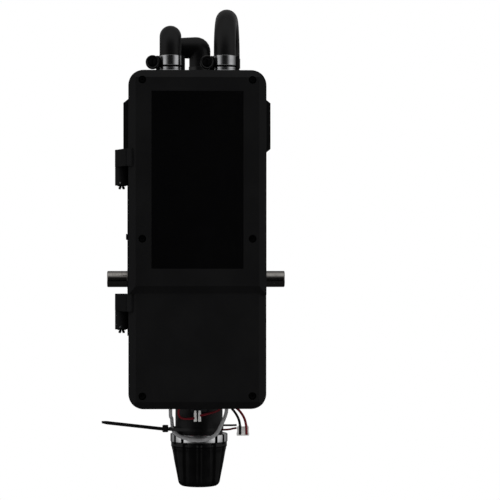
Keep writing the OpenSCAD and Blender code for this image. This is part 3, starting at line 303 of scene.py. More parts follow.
# %% Nodes written as sums
class Field:
    """A value that varies over a surface, held as a shader socket. Its sums, products
    and ramps add the nodes that work them out: a + b, a - b and a * b are Math nodes."""

    def __init__(self, socket):
        self.socket, self.tree = socket, socket.id_data

    def math(self, operation, other=None, clamp=False, swap=False):
        """One Math node of this field and another or a number; swap puts this second."""
        node = add(self.tree, "Math")
        node.operation, node.use_clamp = operation, clamp
        for socket, value in zip(node.inputs, (other, self) if swap else (self, other)):
            if isinstance(value, Field):
                self.tree.links.new(value.socket, socket)
            elif value is not None:
                socket.default_value = value
        return Field(node.outputs[0])

    def __add__(self, other):
        return self.math("ADD", other)

    def __sub__(self, other):
        return self.math("SUBTRACT", other)

    def __rsub__(self, other):
        return self.math("SUBTRACT", other, swap=True)

    def __mul__(self, other):
        return self.math("MULTIPLY", other)

    def ramp(self, low, high, to_low=0.0, to_high=1.0):
        """Map Range with smooth ends: low..high becomes to_low..to_high."""
        node = add(self.tree, "MapRange")
        node.interpolation_type = "SMOOTHSTEP"
        fill(node, Value=self, From_Min=low, From_Max=high, To_Min=to_low, To_Max=to_high)
        return Field(node.outputs["Result"])

    def mix(self, a, b):
        """Colour a where this is 0 and b where it is 1; a and b are fields or RGB."""
        node = add(self.tree, "Mix")
        node.data_type = "RGBA"
        self.tree.links.new(self.socket, node.inputs["Factor"])
        for label, value in (("A", a), ("B", b)):
            socket = next(s for s in node.inputs if s.name == label and s.type == "RGBA")
            if isinstance(value, Field):
                self.tree.links.new(value.socket, socket)
            else:
                socket.default_value = (*value, 1.0)
        return Field(next(s for s in node.outputs if s.type == "RGBA"))

    def tilt(self, shader, strength, depth=0.0002):
        """Gives the shader a Normal by a Bump node: 0..1 stands for depth metres."""
        bump = add(self.tree, "Bump", Strength=strength, Distance=depth, Height=self)
        fill(shader, Normal=Field(bump.outputs["Normal"]))


print("fields ready, with", ", ".join(n for n in vars(Field) if n.isalpha()))


# %% Coordinates and noise
def where(tree, kind="Object"):
    """Texture coordinate of a kind."""
    return Field(add(tree, "TexCoord").outputs[kind])


def axes(tree, kind="Object"):
    """The three axes of a texture coordinate as fields."""
    return [Field(s) for s in add(tree, "SeparateXYZ", Vector=where(tree, kind)).outputs]


def noise(tree, scale, detail=3.0, rough=0.5, vector=None):
    """3D Noise on Object coordinates; scale is in waves a metre."""
    node = add(tree, "TexNoise", Detail=detail, Roughness=rough, Scale=scale,
               Vector=vector or where(tree))
    return Field(node.outputs["Fac"])


def stretched_noise(tree, stretch, scale=1.0, turn=(0.0, 0.0, 0.0)):
    """Noise on Object coordinates times the stretch: a large number packs the marks
    along that axis, a small one draws them out."""
    mapping = add(tree, "Mapping", Vector=where(tree), Scale=stretch, Rotation=turn)
    return noise(tree, scale, vector=Field(mapping.outputs["Vector"]))


print("coordinate and noise fields ready")


# %% Grain, mottle, dust and rub groups
def group(name, label, value, output, work_out):
    """Shader group with one input and one output, worked out by work_out(tree, input)."""
    made = bpy.data.node_groups.new(name, "ShaderNodeTree")
    for text, way in ((label, "INPUT"), (output, "OUTPUT")):
        socket = made.interface.new_socket(text, in_out=way, socket_type="NodeSocketFloat")
        if way == "INPUT":
            socket.default_value = value
    given, out = made.nodes.new("NodeGroupInput"), made.nodes.new("NodeGroupOutput")
    made.links.new(work_out(made, Field(given.outputs[label])).socket, out.inputs[output])
    return made


def grain_height(tree, scale):
    """Noise at the scale + half as much at 2.7 x the scale: the orange-peel grain of
    moulded plastic or sprayed paint."""
    return noise(tree, scale, 2.0) + noise(tree, scale * 2.7, 1.0) * 0.5


def mottle_mask(tree, scale):
    """Smooth step of wide noise, 0 to 1: slow colour and gloss drift."""
    return noise(tree, scale, 4.0, 0.6).ramp(0.32, 0.68)


def dust_mask(tree, scale):
    """How far the true normal looks up x patchy noise: dust lies on ledges."""
    normal = Field(add(tree, "NewGeometry").outputs["Normal"])
    up = Field(add(tree, "SeparateXYZ", Vector=normal).outputs["Z"]).ramp(0.55, 1.0)
    return up * noise(tree, scale, 5.0).ramp(0.3, 0.75)


def rub_mask(tree, scale):
    """Thin bright lines where stretched noise passes its middle value, so that marks run
    along Z, kept only in some patches: rubs from hands and tools."""
    lines = stretched_noise(tree, (3.0, 3.0, 0.22), scale, (0.35, 0.2, 0.0))
    thin = (lines - 0.5).math("ABSOLUTE").ramp(0.0, 0.018, 1.0, 0.0)
    return thin * noise(tree, 11.0, 2.0).ramp(0.5, 0.66)


GRAIN = group("fine_grain", "Scale", 1500.0, "Height", grain_height)
MOTTLE = group("slow_mottle", "Scale", 30.0, "Mask", mottle_mask)
DUST = group("settled_dust", "Patch Scale", 60.0, "Mask", dust_mask)
RUB = group("rub_marks", "Scale", 90.0, "Mask", rub_mask)
print("groups:", [g.name for g in (GRAIN, MOTTLE, DUST, RUB)])


# %% The general finish
def shared(tree, node_tree, **values):
    """A shared group's mask or height, with this material's own input values."""
    node = add(tree, "Group")
    node.node_tree = node_tree
    return Field(fill(node, **values).outputs[0])


def finish(name, colour, second=None, rough=(0.4, 0.5), metal=0.0, specular=0.5, mottle=30.0,
           grain=1500.0, grain_strength=0.25, grain_depth=0.0001, dust=0.0,
           dust_colour=(0.16, 0.15, 0.14), rub=0.0, rub_colour=(0.2, 0.2, 0.2), coat=0.0,
           coat_rough=0.1, extra=None):
    """Base Color = colour to second by the mottle mask, then rub and dust laid over it;
    Roughness = rough[0] to rough[1] by the same mask; Normal = grain through a bump.
    extra(tree, shader, colour, gloss) may lay a pattern of its own over all that."""
    material = bpy.data.materials.new(name)
    material.use_nodes = True
    tree = material.node_tree
    shader = fill(tree.nodes["Principled BSDF"], Metallic=metal, Specular_IOR_Level=specular,
                  Coat_Weight=coat, Coat_Roughness=coat_rough)
    drift = shared(tree, MOTTLE, Scale=mottle)
    shade = drift.mix(colour, second or tuple(min(1.0, c * 1.5 + 0.001) for c in colour))
    gloss = drift.ramp(0.0, 1.0, *rough)
    if rub:
        shade = (shared(tree, RUB) * rub).mix(shade, rub_colour)
    if dust:
        film = shared(tree, DUST) * dust
        shade = film.mix(shade, dust_colour)
        gloss = gloss.math("ADD", film * 0.3, True)
    if grain_strength:
        shared(tree, GRAIN, Scale=grain).tilt(shader, grain_strength, grain_depth)
    if extra:
        shade, gloss = extra(tree, shader, shade, gloss)
    fill(shader, Base_Color=shade, Roughness=gloss)
    return material


# %% [markdown]
# ## Cables and wires under the box
# The photograph shows each of them from end to end: a grey jacketed cable that leaves
# the box, loops round under the motor's clamp ring and goes back into it, two red motor
# leads, and a two-pin connector whose wires come from the box on one side and go into
# the motor on the other. A hanging lead is a round line swept along a smooth path: a
# control polygon gives the path and a circle is carried along it. The CAD's solids
# follow the same polygons. The thin wires are smoothed by a spline. The grey cable is
# thicker, so its straight runs are joined by arcs, none tighter than two diameters,
# and its middle stays within about two millimetres of its solid's.

# %% Jackets
def jacket(name, colour, rough=(0.42, 0.55), specular=0.5, ripple=0.0):
    """Soft vinyl: faint drift of colour, fine grain, and an optional lengthwise ripple
    of the cores under the skin, a wave over the UV's share of the way round."""
    def cores(tree, shader, shade, gloss):
        if ripple:
            u, v, _ = axes(tree, "UV")
            (v * 55.0 + u * (4 * math.pi)).math("SINE").tilt(shader, ripple, 0.0003)
        return shade, gloss
    return finish(name, colour, rough=rough, specular=specular, grain=2600.0,
                  grain_strength=0.2, mottle=45.0, dust=0.25, dust_colour=(0.3, 0.29, 0.28),
                  extra=cores)


GREY_JACKET = jacket("grey_jacket", (0.33, 0.33, 0.335), ripple=0.25)
RED_JACKET = jacket("red_wire_jacket", (0.17, 0.005, 0.012), (0.4, 0.55), 0.3)
BLACK_JACKET = jacket("black_wire_jacket", (0.004, 0.004, 0.0045), (0.45, 0.6), 0.2)
print("jackets:", GREY_JACKET.name, RED_JACKET.name, BLACK_JACKET.name)


# %% The two-pin connector
def translucence_and_painted_glow(tree, shader, shade, gloss):
    """A little light passes through thin nylon walls, and a faint white emission adds a painted
    glow.
    """
    # Subsurface is the light through the walls; the emission is painted light, a glow though the
    # nylon is no lamp.
    fill(shader, Subsurface_Weight=0.15, Subsurface_Radius=(0.002, 0.002, 0.0018),
         Emission_Color=(1.0, 0.99, 0.97), Emission_Strength=0.12)
    return shade, gloss


WHITE_NYLON = finish("white_nylon", (0.86, 0.86, 0.84), (0.82, 0.815, 0.79), (0.35, 0.5),
                     grain=2200.0, grain_strength=0.12, mottle=70.0, dust=0.1,
                     dust_colour=(0.5, 0.49, 0.46), extra=translucence_and_painted_glow)
PLUG_LOW, PLUG_HIGH = (61, -185, -237.7), (80, -175, -222.6)


def plug_skins():
    """A socket body, its wider mouth collar, a latch tongue on the front, two ribs and
    two wire seals, each a rounded block or a short turned ring around its wire."""
    x0, y0, z0 = PLUG_LOW
    x1, y1, z1 = PLUG_HIGH
    parts = [block((x0 + 0.6, y0 + 0.9, z0 + 4.2), (x1 - 0.6, y1 - 0.6, z1 - 1.6), 2, 1.4, 0.5),
             block((x0, y0 + 0.5, z0), (x1, y1, z0 + 4.6), 2, 1.6, 0.5),
             block((x0 + 6.4, y0, z0 + 1.2), (x1 - 6.4, y0 + 1.5, z1 - 3), 1, 0.9, 0.4)]
    parts += [block((x, y0 + 0.4, z0 + 5), (x + 1.1, y0 + 1.4, z1 - 2), 1, 0.5, 0.3)
              for x in (x0 + 2.2, x1 - 3.3)]
    ring = [(1.45, -2.6), (2.5, -2.6), (2.7, -2.2), (2.7, -0.4), (2.4, 0), (1.45, 0)]
    parts += [turned(ring, (x, y0 + 5, z1), "z", 20, True) for x in (66, 76)]
    return parts


plug = piece("wire_plug", plug_skins(), WHITE_NYLON, "wire_connector")

# %% Route the leads
GREY_D, LEAD_D, WIRE_D = 5.5, 3.4, 3.8
GREY_POLYGON = [(-40, -200, -187.5), (-40, -200, -206), (-38, -154, -214), (-37, -148, -233),
                (-27, -190, -238), (-8, -197, -243), (12, -198, -244), (30, -197, -235),
                (41, -197, -212), (45, -203, -200), (45, -203, -187.5)]
GREY_RADII = [12, 11, 11, 22, 45, 40, 26, 30, 24]
WIRE_RUNS = {
    "red_lead_left": ([(-24, -200, -187.5), (-25, -200, -191), (-29, -197, -201),
                       (-25, -186, -211), (-12, -181, -212), (-3, -181, -211)],
                      RED_JACKET, LEAD_D, "red_leads", "object"),
    "red_lead_right": ([(34, -200, -187.5), (36, -199, -192), (34, -192, -198.5),
                        (20, -183, -203.5), (5, -181, -207)],
                       RED_JACKET, LEAD_D, "red_leads", "object"),
    "harness_black": ([(50.0, -194, -187.5), (50.2, -194, -192), (60, -190, -203.5),
                       (66, -185, -217), (66, -185, -236)],
                      BLACK_JACKET, WIRE_D, "harness_wires", "connector"),
    "harness_red": ([(57.0, -194, -187.5), (57.5, -194, -192), (68, -190, -202),
                     (75, -186, -216), (76, -185, -236)],
                    RED_JACKET, WIRE_D, "harness_wires", "connector"),
    "motor_wire_black": ([(39.6, -150, -224.5), (48, -156, -224), (54, -180, -222),
                          (61, -180, -221.7)],
                         BLACK_JACKET, WIRE_D - 0.8, "harness_wires", "connector"),
    "motor_wire_red": ([(39.6, -150, -231.5), (50, -158, -230.5), (55, -180, -227),
                        (61, -180, -226.2)],
                       RED_JACKET, WIRE_D - 0.8, "harness_wires", "connector"),
}


def lead(name, path, diameter, jacket, node, far_end, sides):
    made = piece(name, [tube(path, diameter / 2, sides)], jacket, node)
    diameter * MM
    [plug] if far_end == "connector" else []
    print("   length", round(length_of(path), 1), "mm")


lead("grey_cable_loop", even(filleted(GREY_POLYGON, GREY_RADII), 90), GREY_D, GREY_JACKET,
     "grey_cable", "object", 20)
for wire_name, (polygon, wire_finish, size, wire_node, wire_end) in WIRE_RUNS.items():
    lead(wire_name, even(route(polygon), 28), size, wire_finish, wire_node, wire_end,
         16)

# %% [markdown]
# ## Studio
# The photograph is a cut-out on pure white. Its steel bands show a narrow dark stripe
# where they face the lens and are bright to each side, and the shaft is bright above
# and black below: the set was dark behind the camera and under the object, with broad
# soft boxes left, right and overhead. The world does the same. Camera rays see plain
# white; glossy rays see a field that fades towards the camera's side, towards the
# floor and again far behind the object; the light on matt surfaces is nearly even and
# only weaker from below. Three large soft lamps add gentle shape. They don't show in
# reflections, where their square edges would break the soft field.

# %% World
bpy.context.scene.view_settings.view_transform = "Standard"
world = bpy.data.worlds.new("studio")
bpy.context.scene.world = world
world.use_nodes = True
tree = world.node_tree
tree.nodes.clear()
AMBIENT = 0.34


def background(light, strength):
    """One Background node; light is a field or an RGB colour."""
    return Field(add(tree, "Background", Color=light, Strength=strength).outputs[0])


def either(factor, first, second):
    """Mix Shader: the first where the factor is 0 and the second where it is 1."""
    node = add(tree, "MixShader")
    for field, socket in zip((factor, first, second), node.inputs):
        tree.links.new(field.socket, socket)
    return Field(node.outputs[0])


_, depth, height = axes(tree, "Generated")
sides_open = depth.ramp(-0.97, -0.50, 0.01, 0.8)
round_back = depth.ramp(-0.3, 0.6, 0.0, -0.6)
lift = height.ramp(-0.45, 0.0, 0.01, 1.0)
zenith = height.ramp(0.35, 0.95, 1.0, 0.8)
seen_in_gloss = (sides_open + round_back) * lift * zenith
falls_on_matt = height.ramp(-0.7, 0.4, 0.15, 1.15)
rays = add(tree, "LightPath").outputs
shiny = Field(rays["Is Glossy Ray"]).math("MAXIMUM", Field(rays["Is Transmission Ray"]))
lit = either(shiny, background(falls_on_matt, AMBIENT), background(seen_in_gloss, 1.0))
whole = either(Field(rays["Is Camera Ray"]), lit, background((1.0, 1.0, 1.0), 1.0))
add(tree, "OutputWorld", Surface=whole)
print("world ready, ambient", AMBIENT)

# %% Lamps
OBJECT_MIDDLE = np.array([0.0, -0.14, 0.05])


def soft_box(name, place, size, watts):
    """Square area lamp at place, turned so that its -Z axis points at the object."""
    data = bpy.data.lights.new(name, "AREA")
    data.shape, data.size, data.energy = "SQUARE", size, watts
    lamp = in_scene(name, data)
    lamp.location = place
    aim = lamp.location.copy()
    aim[:] = OBJECT_MIDDLE - np.array(place)
    lamp.rotation_euler = aim.to_track_quat("-Z", "Y").to_euler()
    lamp.visible_glossy = False


soft_box("left_box", (-4.2, -2.4, 1.3), 3.0, 30)
soft_box("right_box", (4.3, -2.2, 1.2), 3.0, 24)
soft_box("front_top_box", (0.2, -2.5, 4.4), 4.2, 110)
print("lamps ready")

# %% [markdown]
# ## Floor
# The operator hangs on a wall, well clear of the ground. A plain pale floor a metre
# below takes its shadow. For camera rays a little light of its own lifts it to the
# backdrop's white, and the shadow still shows where it falls. In reflections the floor
# is dim, like the unlit ground in front of the set.

# %% Floor
FLOOR_Z, FLOOR_HALF = -0.95, 1.6
FLOOR_GLOW, FLOOR_PALE, FLOOR_REFLECTED = 0.7, 0.62, 0.02
corners = np.array([[-1, -1], [1, -1], [1, 1], [-1, 1]]) * FLOOR_HALF
floor_mesh = bpy.data.meshes.new("floor")
floor_mesh.from_pydata([(x, y, FLOOR_Z) for x, y in corners.tolist()], [], [(0, 1, 2, 3)])
floor = in_scene("floor", floor_mesh)
paint = bpy.data.materials.new("pale_floor")
paint.use_nodes = True
tree = paint.node_tree
rays = add(tree, "LightPath").outputs
fill(tree.nodes["Principled BSDF"], Roughness=0.9, Specular_IOR_Level=0.1,
     Emission_Color=(1, 1, 1), Emission_Strength=Field(rays["Is Camera Ray"]) * FLOOR_GLOW,
     Base_Color=Field(rays["Is Glossy Ray"]).ramp(0.0, 1.0, FLOOR_PALE, FLOOR_REFLECTED))
floor_mesh.materials.append(paint)
print("floor at", FLOOR_Z, "m")

# %% [markdown]
# ## Finishes for the hard pieces
# The housing is black moulded plastic and black powder-coated steel, which look alike
# from afar: the plastic has a fine even grain, the powder coat a coarser orange peel
# with a few rubs. The rest is turned, cast, plated or moulded. Turned and drawn metal
# gets fine marks along its working direction, so its pattern is noise that is squeezed
# along one axis and stretched along the others. Copper windings are round wires laid
# side by side.

# %% Patterns that run along one axis
def marked(stretch, strength=0.25, depth=0.00005, gloss_swing=0.12, shade_swing=0.25):
    def marks(tree, shader, shade, gloss):
        lines = stretched_noise(tree, stretch)
        lines.tilt(shader, strength, depth)
        gloss = gloss.math("ADD", lines.ramp(0.3, 0.7, -gloss_swing, gloss_swing), True)
        return (lines.ramp(0.35, 0.7) * shade_swing).mix(shade, (0.08, 0.08, 0.08)), gloss
    return marks


def wound(turns_per_metre, axis):
    """Round wires side by side: height = |sin(pi x turns x axis coordinate)| through a
    bump, and painted shade darkens the colour in the gaps between the wires."""
    def wires(tree, shader, shade, gloss):
        phase = axes(tree)[axis] * (math.pi * turns_per_metre)
        wave = phase.math("SINE").math("ABSOLUTE")
        wave.tilt(shader, 0.9, 0.0006)
        # Painted shade: the gaps between the wires are darkened in the colour, where shade falls
        # between them.
        return wave.ramp(0.0, 0.35, 0.75, 0.0).mix(shade, (0.05, 0.02, 0.008)), gloss
    return wires


# %% Blacks
BLACK_MOULDING = finish("black_moulding", (0.0080, 0.0080, 0.0083), (0.0096, 0.0096, 0.0099),
                        (0.38, 0.46), specular=0.045, grain_strength=0.28, mottle=14.0,
                        dust=0.06, rub=0.08, rub_colour=(0.02, 0.02, 0.02))
POWDER_COAT = finish("powder_coat", (0.0045, 0.0045, 0.005), (0.007, 0.007, 0.0075),
                     (0.36, 0.5), specular=0.22, grain=750.0, grain_strength=0.4,
                     grain_depth=0.0002, mottle=22.0, dust=0.14, rub=0.25,
                     rub_colour=(0.06, 0.06, 0.06))
GLOSS_PANEL = finish("gloss_panel", (0.0018, 0.0018, 0.002), (0.0024, 0.0024, 0.0026),
                     (0.10, 0.15), grain=500.0, grain_strength=0.02, mottle=8.0, specular=0.2,
                     rub=0.12, rub_colour=(0.02, 0.02, 0.02), coat=0.25, coat_rough=0.06)
KNOB_BLACK = finish("knob_black", (0.005, 0.005, 0.0054), (0.008, 0.008, 0.0084), (0.3, 0.4),
                    specular=0.35, grain=1800.0, grain_strength=0.2, mottle=60.0, dust=0.2)
SEAL_RUBBER = finish("seal_rubber", (0.008, 0.008, 0.008), (0.013, 0.013, 0.013), (0.5, 0.65),
                     specular=0.15, grain=2200.0, grain_strength=0.3, mottle=40.0, dust=0.25)
DARK_MOULDING = finish("dark_moulding", (0.018, 0.02, 0.022), (0.026, 0.028, 0.03),
                       (0.34, 0.46), grain=1900.0, grain_strength=0.2, mottle=50.0, dust=0.2)
print("black finishes ready")


# %% Metals
def metal(name, colour, second, rough, mottle, **more):
    """A finish whose colour is that of its reflections."""
    return finish(name, colour, second, rough, metal=1.0, mottle=mottle, **more)


ZINC = metal("zinc_plate", (0.46, 0.47, 0.48), (0.36, 0.37, 0.385), (0.24, 0.38), 160.0,
             grain=2400.0, grain_strength=0.1, rub=0.3)
TIN_DULL = metal("dull_tin", (0.52, 0.52, 0.5), (0.42, 0.42, 0.4), (0.35, 0.5), 300.0,
                 grain=1800.0, grain_strength=0.2)
BRIGHT_ALLOY = metal("bright_alloy", (0.86, 0.86, 0.87), (0.78, 0.785, 0.79), (0.16, 0.26),
                     90.0, extra=marked((90.0, 90.0, 5200.0), 0.12, 2e-5, 0.05, 0.08))
TURNED_STEEL = metal("turned_steel", (0.44, 0.42, 0.395), (0.35, 0.33, 0.31), (0.14, 0.21),
                     55.0, extra=marked((4200.0, 60.0, 60.0)))
GROUND_STEEL = metal("ground_steel", (0.48, 0.475, 0.465), (0.38, 0.375, 0.37), (0.22, 0.34),
                     70.0, extra=marked((60.0, 60.0, 4200.0), 0.2))
CAST_ALLOY = metal("cast_alloy", (0.30, 0.305, 0.31), (0.22, 0.225, 0.23), (0.48, 0.62), 35.0,
                   grain=620.0, grain_strength=0.55, grain_depth=0.0003, dust=0.25, rub=0.3,
                   rub_colour=(0.5, 0.5, 0.5))
BRONZE = metal("gear_bronze", (0.42, 0.24, 0.09), (0.34, 0.18, 0.06), (0.26, 0.4), 120.0,
               extra=marked((3000.0, 90.0, 90.0), 0.2, 4e-5, 0.1, 0.2))
COPPER_COIL = metal("copper_coil", (0.52, 0.20, 0.07), (0.40, 0.14, 0.045), (0.2, 0.34), 150.0,
                    coat=0.4, extra=wound(900.0, 1))
COPPER_ROTOR = metal("copper_rotor", (0.50, 0.19, 0.065), (0.36, 0.13, 0.045), (0.24, 0.4),
                     150.0, extra=wound(700.0, 2))
print("metal finishes ready")

# %% Mouldings, ceramics and glass
FERRITE = finish("ferrite_magnet", (0.035, 0.036, 0.038), (0.05, 0.05, 0.052), (0.5, 0.65),
                 mottle=200.0, grain_strength=0.4)
TERMINAL_GREEN = finish("terminal_green", (0.03, 0.24, 0.075), (0.025, 0.19, 0.06),
                        (0.32, 0.44), grain=2000.0, grain_strength=0.15, mottle=80.0, dust=0.3)
SLEEVE_BLUE = finish("sleeve_blue", (0.022, 0.045, 0.15), (0.017, 0.035, 0.12), (0.22, 0.34),
                     grain=1400.0, grain_strength=0.12, mottle=40.0, dust=0.25, coat=0.15)
BUTTON_WHITE = finish("button_white", (0.70, 0.69, 0.66), (0.63, 0.62, 0.59), (0.28, 0.4),
                      grain=2200.0, grain_strength=0.1, mottle=120.0, dust=0.3,
                      dust_colour=(0.3, 0.29, 0.27))
BUTTON_RED = finish("button_red", (0.42, 0.018, 0.012), (0.34, 0.012, 0.01), (0.28, 0.4),
                    grain=2200.0, grain_strength=0.1, mottle=120.0, dust=0.3)
DISPLAY_GLASS = finish("display_window", (0.012, 0.028, 0.026), (0.016, 0.034, 0.03),
                       (0.08, 0.14), grain=900.0, grain_strength=0.02, coat=0.6,
                       coat_rough=0.04, rub=0.1)
print("finishes:", len(bpy.data.materials))

# %% [markdown]
# ## The circuit board
# A real board is woven glass under green lacquer, with copper tracks that show as
# lighter lines, rows of solder pads and plated holes. At this size the tracks are a
# pattern: even lines across X in some patches and across Z in the others, as runs
# change direction on a routed board, and a second noise cuts them into lengths.

# %% Board finish
TRACK_PITCH = 0.0022


def tracks(tree, shader, shade, gloss):
    """Lines = |sin| of x or z above a threshold, x where wide noise is high and z where
    it is low, cut into runs by a second noise; pads = Voronoi cell centres."""
    lines = [(axes(tree)[k] * (math.pi / TRACK_PITCH)).math("SINE").math("ABSOLUTE")
             .ramp(0.80, 0.88) for k in (0, 2)]
    upright = noise(tree, 42.0, 1.0).ramp(0.49, 0.51)
    runs = (lines[0] * upright).math("ADD", lines[1] * (1.0 - upright), True)
    runs = runs * noise(tree, 75.0, 0.0).ramp(0.44, 0.47)
    dots = add(tree, "TexVoronoi", Vector=where(tree), Scale=230.0, Randomness=0.35)
    pads = Field(dots.outputs["Distance"]).ramp(0.16, 0.2, 1.0, 0.0)
    pads = pads * noise(tree, 55.0, 0.0).ramp(0.56, 0.58)
    (runs + pads).tilt(shader, 0.5, 0.00008)
    return pads.mix((runs * 0.8).mix(shade, (0.03, 0.22, 0.075)), (0.55, 0.54, 0.5)), gloss


BOARD_GREEN = finish("board_green", (0.010, 0.095, 0.035), (0.008, 0.075, 0.028),
                     (0.22, 0.34), mottle=60.0, dust=0.15, coat=0.3, extra=tracks)
print(BOARD_GREEN.name, "ready")

# %% [markdown]
# ## Soft edges for the solids that stay
# The CAD gives pressed, cast and turned pieces exactly, but with knife edges, and no
# real edge is that sharp: it is the small round that catches the light. Four modifiers
# do it without touching the mesh: Weld joins the loose triangles, Decimate in planar
# mode melts flat triangles into whole faces, Bevel rounds what is still sharp, and
# Weighted Normal keeps the flats flat.

# %% Soften and dress the CAD nodes
def soften(made, width):
    """Weld, planar Decimate, Bevel of the width in mm at edges over 30 degrees, and
    Weighted Normal, on the CAD object itself."""
    made.modifiers.new("weld", "WELD").merge_threshold = 2e-6
    flat = made.modifiers.new("melt_flats", "DECIMATE")
    flat.decimate_type, flat.angle_limit = "DISSOLVE", math.radians(0.6)
    edge = made.modifiers.new("round_edges", "BEVEL")
    edge.width, edge.segments, edge.limit_method = width * MM, 2, "ANGLE"
    edge.angle_limit, edge.use_clamp_overlap = math.radians(30), True
    made.modifiers.new("normals", "WEIGHTED_NORMAL").keep_sharp = True


DRESSES = [
    (BLACK_MOULDING, 0.5, "front_cover enclosure_base lower_knuckles"),
    (GLOSS_PANEL, 0.12, "label_panel"),
    (POWDER_COAT, 0.4, "wall_plate left_side_plate right_side_plate gearbox_bracket "
                       "transformer_housing motor_can"),
    (TIN_DULL, 0.25, "battery_strap"),
    (CAST_ALLOY, 0.6, "gear_housing gear_cover motor_flange motor_end_plate heat_sink"),
    (TURNED_STEEL, 0.3, "output_shaft shaft_key retaining_rings output_bearings"),
    (GROUND_STEEL, 0.2, "worm_shaft worm_bearings"),
    (BRONZE, 0.0, "worm_wheel board_standoffs"),
    (SEAL_RUBBER, 0.0, "shaft_seals cover_gasket"),
    (DARK_MOULDING, 0.5, "brush_holder encoder button_frame"),
    (FERRITE, 0.0, "motor_magnets"),
    (COPPER_COIL, 0.0, "transformer"),
    (COPPER_ROTOR, 0.0, "motor_rotor"),
    (TERMINAL_GREEN, 0.4, "terminal_strip"),
    (DISPLAY_GLASS, 0.4, "display"),
    (BOARD_GREEN, 0.0, "control_board"),
]
dressed = [(nodes[name], look, width) for look, width, names in DRESSES for name in names.split()]
for made, look, width in dressed:
    made.data.materials.clear()
    made.data.materials.append(look)
    if width:
        soften(made, width)
print("dressed", len(dressed), "of", len(nodes))

# %% [markdown]
# ## Screw and bolt heads
# Small fasteners decide whether a machine looks real, because everyone knows them: a
# cap screw is a plain cylinder with a deep hexagon socket, a bolt has a chamfered
# hexagon head on a washer face, a clamp screw has a slot. All of them are one surface:
# rings about the screw's axis whose radius may also change with the angle. A hexagon
# is radius = half width / cos(angle to the nearest flat), a slot is the smaller of two
# such limits, and the rings run up the side, over the top, into the drive and down.

# %% Radii that change with the angle
def hexagon(half_width, sides=72):
    """Radius = half width / cos(a'), a' the angle to the nearest of six flats."""
    a = (angles(sides) + np.pi / 6) % (np.pi / 3) - np.pi / 6
    return half_width / np.cos(a)


def slot(length, width, sides=72):
    """Radius = min(length/2 / |cos a|, width/2 / |sin a|): a long narrow rectangle."""
    a = angles(sides)
    return np.minimum(length / 2 / np.maximum(np.abs(np.cos(a)), 1e-6),
                      width / 2 / np.maximum(np.abs(np.sin(a)), 1e-6))


# %% Three heads; way is -1 where the head's top looks down the axis
def facing(rows, way, centre, axis, sides=72):
    """Turned skin with every height times the way."""
    return turned([(r, way * h) for r, h in rows], centre, axis, sides)


def cap_head(centre, axis, way, r, height, shank_r, shank, key=0.5):
    """Socket cap screw with its seat at centre: side with a small round at the top, hex
    socket of half width key x r and depth 0.55 x height, shank below the seat."""
    drive = hexagon(key * r)
    return facing([(shank_r, -shank), (shank_r, 0), (r, 0), (r, height - 0.5),
                   (r - 0.15, height - 0.15), (r - 0.5, height), (drive + 0.25, height),
                   (drive, height - 0.25), (drive, 0.45 * height),
                   (0.3 * drive, 0.36 * height)], way, centre, axis)


def hex_bolt(centre, axis, way, r, height, washer, shank_r, shank, sides=60):
    """Hexagon bolt on a flanged washer face: the top is chamfered by taking the smaller
    of the hexagon and a circle that shrinks over the last fifth."""
    hexa = hexagon(r * 0.87, sides)
    top = [(np.minimum(hexa, r * q), height * h)
           for q, h in ((1.0, 0.78), (0.97, 0.88), (0.9, 0.96), (0.82, 1.0))]
    return facing([(shank_r, -shank), (shank_r, 0), (washer, 0), (washer, 0.5),
                   (washer - 0.3, 0.9), (hexa, 1.0), (hexa, 0.7 * height), *top,
                   (r * 0.5, height), (r * 0.3, height * 0.95)], way, centre, axis, sides)


def slot_head(centre, axis, way, r, height, shank_r=0.0, shank=0.0, sides=36):
    """Pan head with a screwdriver slot, 0.26 x r wide and half the height deep."""
    drive = slot(1.84 * r, 0.264 * r, sides)
    mouth = np.minimum(drive, 0.9 * r)
    crown = [(r * np.cos(t), height * (0.45 + 0.55 * np.sin(t))) for t in (0, 0.35, 0.7, 0.95)]
    cut = [(mouth, height * 0.98), (mouth, height * 0.5), (0.3 * drive, height * 0.5)]
    start = [(shank_r, -shank), (shank_r, 0)] if shank else []
    return facing(start + [(r, 0)] + crown + cut, way, centre, axis, sides)


print("heads ready")

# %% [markdown]
# ## The two moulded hoses
# Each hose is thick black rubber that was cured on a bent core, so it keeps its bends:
# two sleeves that go straight up from the cover, over the top and down to the
# transformer housing behind it. Their skin is smooth and slightly glossy, with the
# faint slanted print of the wet cloth they were wrapped in for curing and a thin mould
# line along the back. A circle carried along a path gives the body. Where a bend is
# tighter than the hose is thick, the inside of a real one gathers instead of folding,
# so ring points may not come nearer to the bend's centre than a share of its radius.

# %% Hose rubber
RIDGES_ROUND, RIDGE_PITCH = 64, 0.0021


def cloth_print(tree, shader, shade, gloss):
    """Two crossing families of fine ridges, sin(a u + b v) x sin(a u - b v) on the UV's
    share round u and metres along v, and wide waves, through one faint bump."""
    u, v, _ = axes(tree, "UV")
    round_it, along = u * (2 * math.pi * RIDGES_ROUND), v * (2 * math.pi / RIDGE_PITCH)
    weave = (round_it + along).math("SINE") * (round_it - along).math("SINE")
    (weave + noise(tree, 38.0, 2.0) * 3.0).tilt(shader, 0.22, 0.00012)
    return shade, gloss


HOSE_RUBBER = finish("hose_rubber", (0.0040, 0.0040, 0.0042), (0.0060, 0.0060, 0.0063),
                     (0.26, 0.36), specular=0.17, mottle=26.0, dust=0.14,
                     dust_colour=(0.06, 0.058, 0.055), grain_strength=0.0, extra=cloth_print)
print(HOSE_RUBBER.name, "ready")

# %% A hose that gathers inside its bends
HOSE_R, HOSE_BORE, HOSE_SIDES, GATHER = 16.5, 12.0, 56, 0.88


